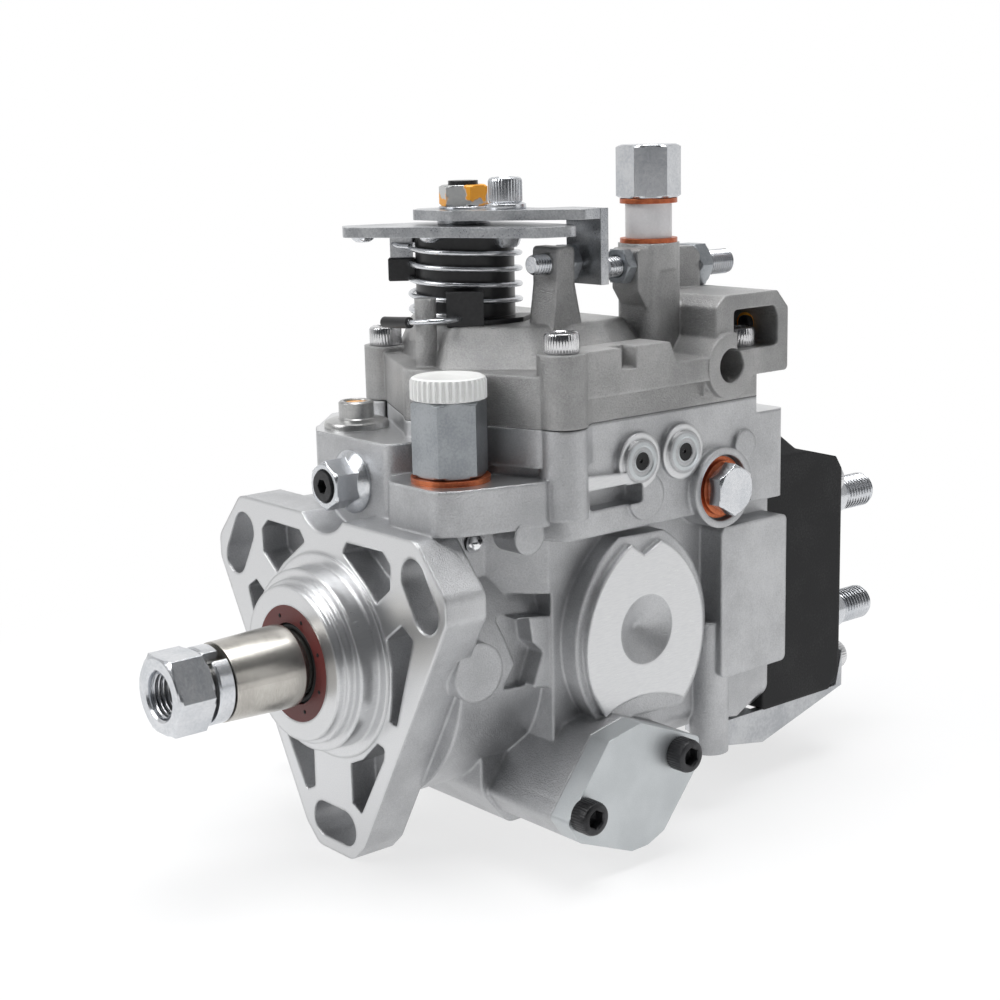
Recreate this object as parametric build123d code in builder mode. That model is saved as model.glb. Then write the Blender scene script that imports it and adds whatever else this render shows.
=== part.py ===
from build123d import *
import math
import os

os.makedirs("parts", exist_ok=True)

# Frame: the drive shaft turns about Y, the mounting face is y = 0, the drive end points to -Y.
# +X is the side with the timing cover and +Z is up. All lengths are millimetres.

# Driving dimensions of the shaft line
SHAFT_R = 10.0
BUSH_OUT_R = 12.0
TAPER_SMALL_R = 11.7
TAPER_BIG_R = 12.5
TAPER_START = -38.5
TAPER_END = -16.0
THREAD_R = 7.0
THREAD_START = -50.0
RUN_FIT = 0.05
SEAT_FIT = 0.02

# Driving dimensions of the mounting flange
FLANGE_T = 14.0
PILOT_R = 27.4
PILOT_START = -7.5
STEP_R = 24.6
STEP_START = -10.0
LIP_R = 23.3
LIP_START = -12.6
BOSS_R = 31.0
BOSS_T = 1.0
SEAL_R = 17.5
SEAL_T = 7.0
SLOT_CIRCLE_R = 53.2
SLOT_LENGTH = 22.0
SLOT_WIDTH = 11.2
POCKET_DEPTH = 9.0

# Stations along the shaft, counted from the mounting face
VANE_START = 18.0
VANE_T = 11.0
PLATE_T = 5.0
GEAR_START = 41.0
GEAR_T = 7.0
RING_START = 50.0
RING_END = 66.0
ROLLER_Y = 63.0
ROLLER_R = 4.5
CAM_LIFT = 2.2
CAM_T = 7.0
HOUSING_END = 138.5
HEAD_END = 177.0

# Inner bores
VANE_BORE_R = 30.0
GEAR_BORE_R = 32.0
CAM_R = 31.0
CAM_CLEARANCE = 3.0
CHAMBER_R = CAM_R + CAM_CLEARANCE

# Governor
GOV_Z = 51.0
GOV_WALL_Y = 11.5
STUD_R = 4.5
STUD_START = 0.5
STUD_END = 92.0
SLEEVE_R = 6.8

# Gear pair
MODULE = 1.5
DRIVE_TEETH = 40
DRIVEN_TEETH = 28
BACKLASH = 0.35

# Timing device
TIMING_Y = 57.5
TIMING_Z = -42.2
PISTON_R = 9.0
TIMING_FACE_X = 62.5
TIMING_COVER_T = 7.5

# Plunger and distributor
PLUNGER_R = 5.0
BARREL_R = 10.0
COLLAR_T = 9.0
LEVER_Y = 107.6
LEVER_PIVOT_Z = 43.2
COLLAR_START = LEVER_Y - COLLAR_T / 2

# Top of the housing and the governor cover
JOINT_Z = 69.0
LEDGE_Z = 84.0
RIB_BOTTOM_Z = 77.0
RIB_TOP_Z = 90.3
DOME_Z = 95.5
GASKET_T = 0.4
SIDE_X = 56.5
RIB_X = 59.8
LEFT_X = -42.0

# Control lever on the cover
LEVER_X = 1.6
LEVER_SHAFT_Y = 55.0
CONTROL_R = 4.5
BUSH_R = 15.0
LOWER_PLATE_Z = 121.3
UPPER_PLATE_Z = 125.8
PLATE_STOCK = 3.0


def station(y):
    """Plane across the shaft at distance y behind the mounting face."""
    return Plane.XZ.offset(-y)


def drum(start, end, radius, x=0.0, z=0.0, mode=Mode.ADD):
    """Add or cut a cylinder along Y in the part that is open."""
    with BuildSketch(station(start)) as face:
        with Locations((x, z)):
            Circle(radius)
    extrude(face.sketch, amount=-(end - start), mode=mode)


def peg(start, end, radius, y, z, mode=Mode.ADD):
    """Add or cut a cylinder along X in the part that is open."""
    with BuildSketch(Plane.YZ.offset(start)) as face:
        with Locations((y, z)):
            Circle(radius)
    extrude(face.sketch, amount=end - start, mode=mode)


def post(bottom, top, radius, x, y, mode=Mode.ADD):
    """Add or cut an upright cylinder in the part that is open."""
    with BuildSketch(Plane.XY.offset(bottom)) as face:
        with Locations((x, y)):
            Circle(radius)
    extrude(face.sketch, amount=top - bottom, mode=mode)


def slab(plane, points, depth, corner=0.0, mode=Mode.ADD):
    """Add or cut a prism from an outline of straight sides with rounded corners."""
    with BuildSketch(plane) as outline:
        with BuildLine():
            Polyline(*points, close=True)
        make_face()
        if corner > 0:
            fillet(outline.vertices(), corner)
    extrude(outline.sketch, amount=depth, mode=mode)


def block(low, high, mode=Mode.ADD):
    """Add or cut a box between two corner points."""
    middle = ((low[0] + high[0]) / 2, (low[1] + high[1]) / 2, (low[2] + high[2]) / 2)
    with Locations(middle):
        Box(high[0] - low[0], high[1] - low[1], high[2] - low[2], mode=mode)


def hexagon(plane, across, depth, x=0.0, y=0.0, turn=0.0, mode=Mode.ADD):
    """Add or cut a hexagonal bar of the given width across its flats."""
    with BuildSketch(plane) as face:
        with Locations((x, y)):
            RegularPolygon(across / 2, 6, major_radius=False, rotation=turn)
    extrude(face.sketch, amount=depth, mode=mode)


def screw(x, y, seat, head_r, head_h, thread_r, depth, socket):
    """Add an upright socket screw that is seated at the given height."""
    post(seat, seat + head_h, head_r, x, y)
    post(seat - depth, seat, thread_r, x, y)
    hexagon(Plane.XY.offset(seat + head_h), socket, -head_h * 0.55, x, y, mode=Mode.SUBTRACT)


def finish(builder, name):
    """Label the finished piece and write it."""
    builder.part.label = name
    export_step(builder.part, "parts/" + name + ".step")
    print(name, len(builder.part.solids()), builder.part.is_valid, round(builder.part.volume))


def tooth_outline(teeth):
    """Outline of one involute tooth on the +X side of a gear."""
    pitch = MODULE * teeth / 2
    base = pitch * math.cos(math.radians(20))
    root = pitch - 1.25 * MODULE
    tip = pitch + 0.9 * MODULE
    lean = math.tan(math.acos(base / pitch)) - math.acos(base / pitch)
    half = (math.pi * MODULE / 2 - BACKLASH) / 2 / pitch + lean
    flank = []
    for step in range(4):
        radius = max(base, root) + (tip - max(base, root)) * step / 3
        swing = math.tan(math.acos(base / radius)) - math.acos(base / radius)
        flank.append((radius * math.cos(half - swing), radius * math.sin(half - swing)))
    foot = (root - 0.5, (root - 0.5) * math.sin(half))
    upper = [foot] + flank
    lower = [(px, -py) for px, py in reversed(upper)]
    return upper + lower


def toothed_disc(teeth, first_angle, x, z):
    """Add a toothed disc at the gear station in the part that is open."""
    with BuildSketch() as tooth:
        with BuildLine():
            Polyline(*tooth_outline(teeth), close=True)
        make_face()
    with BuildSketch(station(GEAR_START)) as face:
        with Locations((x, z)):
            Circle(MODULE * teeth / 2 - 1.25 * MODULE)
            with PolarLocations(0, teeth, start_angle=first_angle):
                add(tooth.sketch)
    extrude(face.sketch, amount=-GEAR_T)


# Plan of the upper housing and the cover, seen from above
COVER_PLAN = [(61.3, 47.0), (52.9, 38.4), (38.0, 34.1), (11.6, 23.0), (4.0, 28.0), (-36.0, 48.0),
              (LEFT_X, 60.0), (LEFT_X, 127.0), (SIDE_X, 127.0), (SIDE_X, 56.0)]
CHAMBER_PLAN = [(-23.4, 40.3), (23.4, 40.3), (47.0, 57.0), (47.0, 119.0), (-36.0, 119.0),
                (-36.0, 59.0), (-23.4, 50.0)]
COVER_SCREWS = [(55.0, 46.0, 90.3), (-28.0, 46.0, 86.0), (-33.0, 123.5, 84.0), (50.0, 124.0, 84.5)]

# Half outline of the mounting flange and the pockets in its right half
FLANGE_HALF = [(0.0, 42.0), (45.0, 42.0), (57.9, 27.5), (57.9, 20.5), (15.2, -56.5), (9.0, -62.4),
               (0.0, -62.4)]
POCKET_TOP = [(9.5, 33.0), (12.0, 36.3), (29.5, 36.6), (33.0, 33.5), (32.6, 26.0), (25.6, 20.6),
              (21.5, 24.5), (15.5, 28.7)]
POCKET_SIDE = [(30.0, 11.0), (37.5, 16.6), (42.6, 13.4), (33.5, -14.0), (29.6, -14.2), (31.2, -6.0),
               (31.8, 3.0)]
POCKET_LOW = [(9.5, -31.6), (16.0, -28.6), (23.6, -21.6), (27.2, -22.4), (26.6, -26.0), (14.3, -46.3),
              (9.7, -44.0)]

# Machined pad on the timing side
PAD_X = 58.5
PAD_Y = 75.3
PAD_Z = 4.8
DIMPLE_R = 10.7
DIMPLE_DEPTH = 5.5

# Stepped block and pocket on the side of the barrel
SIDE_BLOCK = [(30.5, 15.0), (47.8, 12.6), (49.4, 1.5), (53.9, -2.2), (54.5, -10.7), (38.2, -7.6), (42.4, 2.8),
              (38.5, 6.2)]
SIDE_POCKET = [(28.5, 14.5), (37.4, 14.0), (38.5, 6.2), (42.4, 2.8), (38.2, -7.6), (29.3, -7.1), (34.0, -0.1)]
BALL_HOLE_R = 2.8
BALL_HOLE_Y = 25.5
BALL_HOLE_Z = 36.5

# Fittings on the housing
INLET_X = 35.5
INLET_Y = 20.5
INLET_SEAT_Z = 55.0
INLET_FLATS = 19.0
INLET_R = 7.0
VALVE_X = -15.8
VALVE_Y = 25.0
VALVE_SEAT_Z = 64.0
VALVE_R = 5.5
RECESS_R = 10.3
PIVOT_SEAT_X = 56.0
PIVOT_THREAD_R = 5.0
PIVOT_R = 3.0
TIMING_OUTLINE = [(48.5, -21.0), (61.4, -18.5), (86.0, -28.5), (84.0, -38.5), (70.7, -54.3),
                  (64.0, -57.0), (57.4, -57.2), (36.7, -48.8), (32.0, -42.0)]
TIMING_SCREWS = [(37.9, -40.3), (76.5, -31.2)]
TIMING_SCREW_R = 3.0
HEAD_SCREWS = [(40.0, 33.0), (-40.0, 33.0), (40.0, -30.0), (-40.0, -30.0)]
PORTS = [(22.0, 21.0), (-22.0, 21.0), (22.0, -21.0), (-22.0, -21.0)]

with BuildPart() as pump_housing:
    # Mounting flange with its pilot
    with BuildSketch(station(0)) as flange_face:
        with BuildLine():
            half = Polyline(*FLANGE_HALF)
            mirror(half, about=Plane.YZ)
        make_face()
        corners = flange_face.vertices().filter_by(lambda v: abs(v.X) > 1)
        fillet(corners, 5)
    extrude(amount=-FLANGE_T)
    drum(-BOSS_T, 0, BOSS_R)
    drum(PILOT_START, -BOSS_T, PILOT_R)
    drum(STEP_START, PILOT_START, STEP_R)
    drum(LIP_START, STEP_START, LIP_R)
    # Barrel round the pump works
    drum(FLANGE_T, 52, 46.0)
    slab(station(45), [(-50, 30), (-50, -30), (-42, -38), (42, -38), (50, -30), (50, 30)],
         -(HOUSING_END - 45), corner=6)
    # Boss of the timing cylinder across the barrel
    slab(Plane.YZ.offset(-TIMING_FACE_X), TIMING_OUTLINE, 2 * TIMING_FACE_X, corner=2)
    slab(Plane.YZ.offset(-34), [(30, -20), (30, -42), (40, -54), (76, -54), (92, -36), (110, -20)],
         68, corner=5)
    # Governor housing above the barrel
    slab(Plane.XY.offset(20), [(38, FLANGE_T), (38, 30), (50, 44), (50, HOUSING_END),
         (LEFT_X, HOUSING_END), (LEFT_X, 34), (-38, 28), (-38, FLANGE_T)], 20, corner=1)
    slab(Plane.XY.offset(36), [(18, GOV_WALL_Y), (-18, GOV_WALL_Y), (-28, 20), (LEFT_X, 34),
         (LEFT_X, HOUSING_END), (SIDE_X, HOUSING_END), (SIDE_X, 46), (38, 34.5), (20, 30)], 28, corner=3)
    slab(Plane.XY.offset(58), COVER_PLAN, JOINT_Z - 58, corner=3)
    # Front corner column and the cast seat under the left cover screw
    post(43, JOINT_Z, 7.0, 55.0, 46.0)
    post(50, JOINT_Z, 6.5, -28.0, 46.0)
    # Inlet ledge and the boss of the pressure regulating valve
    slab(Plane.XY.offset(42), [(18, 12.5), (24, 6.5), (46, 6.5), (50, 12), (58, 40), (40, 44), (14, 30)],
         INLET_SEAT_Z - 42, corner=4)
    post(40, VALVE_SEAT_Z, 12.5, VALVE_X, VALVE_Y)
    # Pad with the conical centre and its cast surround
    with BuildSketch(Plane.YZ.offset(40)) as pad_cast:
        with BuildLine():
            l1 = Line((66.5, 34.0), (84.6, 33.4))
            l2 = ThreePointArc(l1 @ 1, (102.4, 1.0), (92.0, -23.0))
            l3 = Line(l2 @ 1, (58.0, -21.5))
            ThreePointArc(l3 @ 1, (48.4, 2.0), l1 @ 0)
        make_face()
    extrude(amount=PAD_X - 42)
    with BuildSketch(Plane.YZ.offset(50)) as pad_face:
        with BuildLine():
            l1 = Polyline((69.3, 31.6), (74.7, 27.7), (81.8, 31.0))
            l2 = ThreePointArc(l1 @ 1, (99.4, -1.5), (91.0, -20.0))
            l3 = ThreePointArc(l2 @ 1, (77.0, -15.8), (58.2, -18.7))
            ThreePointArc(l3 @ 1, (51.2, 4.0), l1 @ 0)
        make_face()
    extrude(amount=PAD_X - 50)
    # Box at the rear of the timing side, above its foot
    slab(Plane.YZ.offset(40), [(107, 30.6), (136.6, 30.6), (136.6, -17.4), (107, -17.7)], 19.2, corner=2)
    post(-43.5, 0, 6.2, 51.0, 110.0)
    slab(Plane.YZ.offset(30), [(112, -10), (136, -10), (136, -30), (124, -36), (112, -34)], 20, corner=3)
    # Bosses of the timing side
    for place_y, place_z in ((73.2, 56.2), (91.2, 56.6)):
        peg(50, 58.2, 8.4, place_y, place_z)
        peg(50, 59.2, 6.4, place_y, place_z)
        peg(58.0, 60, 2.7, place_y, place_z, Mode.SUBTRACT)
    peg(50, 58.0, 7.0, 76.3, 45.0)
    peg(50, 57.6, 4.6, 119.2, 54.8)
    peg(45, 59.5, 12.4, LEVER_Y, LEVER_PIVOT_Z)
    peg(45, 55.0, 5.4, 33.0, 39.6)
    peg(44, 50.6, 8.6, 17.0, 2.0)
    # Ledge above the side slot and the stepped block on the barrel
    slab(Plane.YZ.offset(50), [(46, 50.2), (69, 50.2), (69, 53.4), (46, 55)], 8.5, corner=1)
    slab(Plane.YZ.offset(40), SIDE_BLOCK, 9.0, corner=1)

    # Slots, pockets and the relief for the governor nut
    with BuildSketch(station(0)) as slots:
        with PolarLocations(SLOT_CIRCLE_R, 3, start_angle=-90):
            SlotOverall(SLOT_LENGTH, SLOT_WIDTH, rotation=90)
    extrude(amount=-FLANGE_T, mode=Mode.SUBTRACT)
    for pocket in (POCKET_TOP, POCKET_SIDE, POCKET_LOW):
        slab(station(0), pocket, -POCKET_DEPTH, 1.0, Mode.SUBTRACT)
        slab(station(0), [(-px, pz) for px, pz in pocket], -POCKET_DEPTH, 1.0, Mode.SUBTRACT)
    drum(0, GOV_WALL_Y, 13.8, 0, GOV_Z, Mode.SUBTRACT)
    slab(Plane.YZ.offset(50.5), [(54.5, 43.6), (74.5, 43.6), (74.5, 49.6), (54.5, 50.0)], 10, corner=1.5,
         mode=Mode.SUBTRACT)
    slab(Plane.YZ.offset(42.5), SIDE_POCKET, 10, corner=1, mode=Mode.SUBTRACT)
    # Mouth of the drilling that a pressed steel ball closes
    peg(34, 40, BALL_HOLE_R, BALL_HOLE_Y, BALL_HOLE_Z, Mode.SUBTRACT)
    # Bores of the shaft line
    drum(LIP_START, LIP_START + SEAL_T + 0.2, SEAL_R, mode=Mode.SUBTRACT)
    drum(LIP_START, VANE_START, BUSH_OUT_R, mode=Mode.SUBTRACT)
    drum(VANE_START, VANE_START + VANE_T + PLATE_T, VANE_BORE_R + SEAT_FIT, mode=Mode.SUBTRACT)
    drum(VANE_START + VANE_T + PLATE_T, RING_END, GEAR_BORE_R + RUN_FIT, mode=Mode.SUBTRACT)
    drum(RING_END, HOUSING_END, CHAMBER_R, mode=Mode.SUBTRACT)
    # Governor chamber, open to the cover
    slab(Plane.XY.offset(28), CHAMBER_PLAN, JOINT_Z - 28, corner=1.5, mode=Mode.SUBTRACT)
    drum(GOV_WALL_Y, GEAR_START, STUD_R + SEAT_FIT, 0, GOV_Z, Mode.SUBTRACT)
    # Timing cylinder and the slot for its pin
    peg(-TIMING_FACE_X, TIMING_FACE_X, PISTON_R + RUN_FIT, TIMING_Y, TIMING_Z, Mode.SUBTRACT)
    with BuildSketch(Plane.XY.offset(TIMING_Z)) as pin_slot:
        with Locations((0, TIMING_Y)):
            SlotOverall(20, 8)
    extrude(amount=20, mode=Mode.SUBTRACT)
    for place_y, place_z in TIMING_SCREWS:
        peg(TIMING_FACE_X - 14, TIMING_FACE_X, TIMING_SCREW_R + SEAT_FIT, place_y, place_z, Mode.SUBTRACT)
        peg(-TIMING_FACE_X, 14 - TIMING_FACE_X, TIMING_SCREW_R + SEAT_FIT, place_y, place_z, Mode.SUBTRACT)
    # Threaded seats
    post(INLET_SEAT_Z - 12, INLET_SEAT_Z, INLET_R + SEAT_FIT, INLET_X, INLET_Y, Mode.SUBTRACT)
    post(VALVE_SEAT_Z - 22, VALVE_SEAT_Z, VALVE_R + SEAT_FIT, VALVE_X, VALVE_Y, Mode.SUBTRACT)
    peg(PIVOT_SEAT_X, 59.5, RECESS_R, LEVER_Y, LEVER_PIVOT_Z, Mode.SUBTRACT)
    peg(LEFT_X, PIVOT_SEAT_X, PIVOT_THREAD_R + SEAT_FIT, LEVER_Y, LEVER_PIVOT_Z, Mode.SUBTRACT)
    for place_x, place_y, seat in COVER_SCREWS:
        post(JOINT_Z - 11, JOINT_Z, TIMING_SCREW_R + SEAT_FIT, place_x, place_y, Mode.SUBTRACT)
    for place_x, place_z in HEAD_SCREWS:
        drum(HOUSING_END - 14, HOUSING_END, TIMING_SCREW_R + SEAT_FIT, place_x, place_z, Mode.SUBTRACT)
    with BuildSketch(Plane.YZ.offset(PAD_X)) as dimple:
        with Locations((PAD_Y, PAD_Z)):
            Circle(DIMPLE_R)
    extrude(amount=-DIMPLE_DEPTH, taper=61, mode=Mode.SUBTRACT)
finish(pump_housing, "pump_housing")

# Shaft line
with BuildPart() as shaft_seal:
    drum(LIP_START, LIP_START + SEAL_T, SEAL_R)
    drum(LIP_START, LIP_START + SEAL_T, SHAFT_R + RUN_FIT, mode=Mode.SUBTRACT)
    drum(LIP_START, LIP_START + 2.2, SHAFT_R + 2.2, mode=Mode.SUBTRACT)
finish(shaft_seal, "shaft_seal")

with BuildPart() as shaft_bush:
    drum(LIP_START + SEAL_T + 0.4, VANE_START - 0.4, BUSH_OUT_R)
    drum(LIP_START + SEAL_T + 0.4, VANE_START - 0.4, SHAFT_R + RUN_FIT, mode=Mode.SUBTRACT)
finish(shaft_bush, "shaft_bush")

DISC_START = GEAR_START + GEAR_T + 1.0
DISC_T = 6.0
DISC_R = 15.5
CLAW_END = ROLLER_Y + 1.5
LUG_R = 13.4
KEY_START = VANE_START + 2
KEY_LENGTH = 7.0
KEY_W = 3.0
KEY_TOP = SHAFT_R + 1.2

with BuildPart() as drive_shaft:
    with BuildSketch(Plane.XY) as profile:
        with BuildLine():
            Polyline((0, THREAD_START), (THREAD_R - 1, THREAD_START), (THREAD_R, THREAD_START + 1),
                     (THREAD_R, TAPER_START), (TAPER_SMALL_R, TAPER_START), (TAPER_BIG_R, TAPER_END),
                     (TAPER_BIG_R - 0.6, TAPER_END + 1), (SHAFT_R, TAPER_END + 1), (SHAFT_R, DISC_START),
                     (DISC_R, DISC_START), (DISC_R, DISC_START + DISC_T), (0, DISC_START + DISC_T),
                     close=True)
        make_face()
    revolve(axis=Axis.Y)
    # Dogs that reach forward into the gear, and claws that reach back to the cross disc
    for side in (-1, 1):
        block((side * LUG_R - 1.9, GEAR_START + 0.5, -3), (side * LUG_R + 1.9, DISC_START, 3))
        block((side * LUG_R - 2, DISC_START + DISC_T, -4), (side * LUG_R + 2, CLAW_END, 4))
    # Key of the feed pump rotor
    block((-KEY_W / 2, KEY_START, 0), (KEY_W / 2, KEY_START + KEY_LENGTH, KEY_TOP))
finish(drive_shaft, "drive_shaft")

WASHER_END = TAPER_START
WASHER_START = -45.0
NUT_START = -57.0
NUT_FLATS = 22.0

with BuildPart() as shaft_nut:
    hexagon(station(NUT_START), NUT_FLATS, NUT_START - WASHER_START, turn=0)
    drum(NUT_START, WASHER_START, THREAD_R + SEAT_FIT, mode=Mode.SUBTRACT)
    hole_edge = shaft_nut.edges().filter_by(GeomType.CIRCLE).sort_by(Axis.Y)[0]
    chamfer(hole_edge, 1.0)
finish(shaft_nut, "shaft_nut")

with BuildPart() as spring_washer:
    drum(WASHER_START, WASHER_END, TAPER_SMALL_R - 0.2)
    drum(WASHER_START, WASHER_END, THREAD_R + 0.4, mode=Mode.SUBTRACT)
    slab(Plane.XY.offset(4), [(-1, WASHER_START - 1), (1.5, WASHER_START - 1), (3.5, WASHER_END + 1),
         (1, WASHER_END + 1)], 12, mode=Mode.SUBTRACT)
finish(spring_washer, "spring_washer")

# Feed pump with four vanes
ROTOR_R = 21.0
CAM_RING_R = 24.0
CAM_RING_SHIFT = 2.5
VANE_T_WIDTH = 3.4
SLOT_GAP = 0.05
VANE_END = VANE_START + VANE_T
PLATE_END = VANE_END + PLATE_T
PLATE_SCREW_Z = 26.9
PLATE_SCREW_R = 1.5

with BuildPart() as feed_pump_ring:
    drum(VANE_START, VANE_END, VANE_BORE_R)
    drum(VANE_START, VANE_END, CAM_RING_R, CAM_RING_SHIFT, 0, Mode.SUBTRACT)
    for side in (-1, 1):
        drum(VANE_START, VANE_END, PLATE_SCREW_R + SEAT_FIT, 0, side * PLATE_SCREW_Z, Mode.SUBTRACT)
finish(feed_pump_ring, "feed_pump_ring")

with BuildPart() as feed_pump_rotor:
    drum(VANE_START + RUN_FIT, VANE_END - RUN_FIT, ROTOR_R)
    drum(VANE_START, VANE_END, SHAFT_R + SEAT_FIT, mode=Mode.SUBTRACT)
    block((-KEY_W / 2, VANE_START, 0), (KEY_W / 2, VANE_END, KEY_TOP + 0.1), mode=Mode.SUBTRACT)
    with BuildSketch(station(VANE_START)) as vane_slots:
        with PolarLocations(ROTOR_R - 3.5, 4, start_angle=45):
            Rectangle(10, VANE_T_WIDTH + 2 * SLOT_GAP)
    extrude(amount=-VANE_T, mode=Mode.SUBTRACT)
finish(feed_pump_rotor, "feed_pump_rotor")

with BuildPart() as feed_pump_vanes:
    with BuildSketch(station(VANE_START + RUN_FIT)) as vane_faces:
        with PolarLocations(ROTOR_R - 4.2, 4, start_angle=45):
            Rectangle(8, VANE_T_WIDTH)
    extrude(amount=-(VANE_T - 2 * RUN_FIT))
finish(feed_pump_vanes, "feed_pump_vanes")

with BuildPart() as feed_pump_plate:
    drum(VANE_END, PLATE_END, VANE_BORE_R)
    drum(VANE_END, PLATE_END, SHAFT_R + 0.4, mode=Mode.SUBTRACT)
    with BuildSketch(station(VANE_END)) as ports:
        with PolarLocations(0, 2, start_angle=0):
            SlotArc(Edge.make_circle(17, start_angle=-35, end_angle=35), 4)
    extrude(amount=-PLATE_T, mode=Mode.SUBTRACT)
    # Its two screws, which stand in the ring
    for side in (-1, 1):
        drum(VANE_START, PLATE_END, PLATE_SCREW_R, 0, side * PLATE_SCREW_Z)
        drum(PLATE_END, PLATE_END + 1.8, 2.7, 0, side * PLATE_SCREW_Z)
        block((-3, PLATE_END + 1, side * PLATE_SCREW_Z - 0.4), (3, PLATE_END + 3, side * PLATE_SCREW_Z + 0.4),
              mode=Mode.SUBTRACT)
finish(feed_pump_plate, "feed_pump_plate")

# Gear pair
WINDOW_HALF = 9.0

with BuildPart() as drive_gear:
    toothed_disc(DRIVE_TEETH, 90, 0, 0)
    drum(GEAR_START, GEAR_START + GEAR_T, SHAFT_R + SEAT_FIT, mode=Mode.SUBTRACT)
    for side in (-1, 1):
        block((side * LUG_R - 2.2, GEAR_START, -WINDOW_HALF), (side * LUG_R + 2.2, GEAR_START + GEAR_T, WINDOW_HALF),
              mode=Mode.SUBTRACT)
finish(drive_gear, "drive_gear")

with BuildPart() as rubber_dampers:
    for side in (-1, 1):
        for half in (-1, 1):
            low = 3.1 if half > 0 else 0.1 - WINDOW_HALF
            high = WINDOW_HALF - 0.1 if half > 0 else -3.1
            block((side * LUG_R - 2, GEAR_START + 0.5, low), (side * LUG_R + 2, GEAR_START + GEAR_T - 0.2, high))
finish(rubber_dampers, "rubber_dampers")

# Roller ring with four rollers
RING_R = GEAR_BORE_R - RUN_FIT
RING_BORE_R = 18.4
ROLLER_IN = 20.0
ROLLER_OUT = 29.5
ROLLER_PIN_R = 1.8
TIMING_PIN_R = 2.5

with BuildPart() as roller_ring:
    drum(RING_START, RING_END, RING_R)
    drum(RING_START, RING_END, RING_BORE_R, mode=Mode.SUBTRACT)
    with BuildSketch(station(ROLLER_Y - ROLLER_R - 0.3)) as roller_seats:
        with PolarLocations((ROLLER_IN + ROLLER_OUT) / 2, 4, start_angle=45):
            Rectangle(ROLLER_OUT - ROLLER_IN + 0.4, 2 * ROLLER_R + 0.4)
    extrude(amount=-20, mode=Mode.SUBTRACT)
    # Roller pins and the pin that reaches down to the timing piston
    for angle in (45, 135, 225, 315):
        outward = (math.cos(math.radians(angle)), 0, math.sin(math.radians(angle)))
        start = (18.8 * outward[0], ROLLER_Y, 18.8 * outward[2])
        with BuildSketch(Plane(origin=start, x_dir=(0, 1, 0), z_dir=outward)) as pin_face:
            Circle(ROLLER_PIN_R)
        extrude(pin_face.sketch, amount=31.5 - 18.8)
    post(TIMING_Z - 3, -23, TIMING_PIN_R, 0, TIMING_Y)
finish(roller_ring, "roller_ring")

with BuildPart() as rollers:
    for angle in (45, 135, 225, 315):
        outward = (math.cos(math.radians(angle)), 0, math.sin(math.radians(angle)))
        start = (ROLLER_IN * outward[0], ROLLER_Y, ROLLER_IN * outward[2])
        with BuildSketch(Plane(origin=start, x_dir=(0, 1, 0), z_dir=outward)) as roller_face:
            Circle(ROLLER_R)
            Circle(ROLLER_PIN_R + RUN_FIT, mode=Mode.SUBTRACT)
        extrude(roller_face.sketch, amount=ROLLER_OUT - ROLLER_IN)
finish(rollers, "rollers")

# Cross disc between the shaft claws and the claws of the cam plate
CROSS_START = DISC_START + DISC_T + 3.0
CROSS_END = ROLLER_Y + 1.0
CAM_START = ROLLER_Y + ROLLER_R + 0.35
CAM_END = CAM_START + CAM_LIFT + CAM_T

with BuildPart() as cross_disc:
    drum(CROSS_START, CROSS_END, DISC_R + 1.5)
    for side in (-1, 1):
        block((side * LUG_R - 5, CROSS_START, -4.1), (side * LUG_R + 5, CROSS_END, 4.1), mode=Mode.SUBTRACT)
        block((-4.1, CROSS_START, side * LUG_R - 5), (4.1, CROSS_END, side * LUG_R + 5), mode=Mode.SUBTRACT)
finish(cross_disc, "cross_disc")

with BuildPart() as cam_plate:
    drum(CAM_START + CAM_LIFT, CAM_END, CAM_R)
    # Four lobes with sloping flanks that stand over the rollers
    for angle in (45, 135, 225, 315):
        with BuildSketch(Plane(origin=(0, 0, 0), x_dir=(-math.sin(math.radians(angle)), 0,
                               math.cos(math.radians(angle))),
                               z_dir=(math.cos(math.radians(angle)), 0, math.sin(math.radians(angle))))) as lobe:
            with BuildLine():
                rise = CAM_START + CAM_LIFT + 0.5
                Polyline((-11, -rise), (-4, -CAM_START), (4, -CAM_START), (11, -rise), close=True)
            make_face()
        extrude(lobe.sketch, amount=CAM_R + 5)
    drum(CAM_START - 1, CAM_END, PLUNGER_R + 2, mode=Mode.SUBTRACT)
    with BuildSketch(station(CAM_START - 1)) as trim:
        Circle(CAM_R + 20)
        Circle(CAM_R, mode=Mode.SUBTRACT)
    extrude(amount=-(CAM_END - CAM_START + 2), mode=Mode.SUBTRACT)
    drum(CAM_START - 1, CAM_START + CAM_LIFT, 19.0, mode=Mode.SUBTRACT)
    for side in (-1, 1):
        block((-4, CROSS_START + 0.5, side * LUG_R - 2), (4, CAM_START + CAM_LIFT + 0.5, side * LUG_R + 2))
finish(cam_plate, "cam_plate")

# Plunger and what stands round it
FOOT_R = PLUNGER_R + 1.9
PLUNGER_END = HEAD_END - 22.0
YOKE_START = CAM_END + 0.3
YOKE_T = 4.0
SPRING_X = 19.5
SPRING_R = 6.0
SPRING_WIRE = 2.0
HEAD_SPIGOT_START = 125.0

with BuildPart() as plunger:
    drum(CAM_START + CAM_LIFT, CAM_END, FOOT_R)
    drum(CAM_END, PLUNGER_END, PLUNGER_R)
    drum(LEVER_Y - 6, LEVER_Y - 4.4, PLUNGER_R + 1, mode=Mode.SUBTRACT)
    drum(LEVER_Y - 6.2, LEVER_Y - 4.2, PLUNGER_R - 0.6)
finish(plunger, "plunger")

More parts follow.
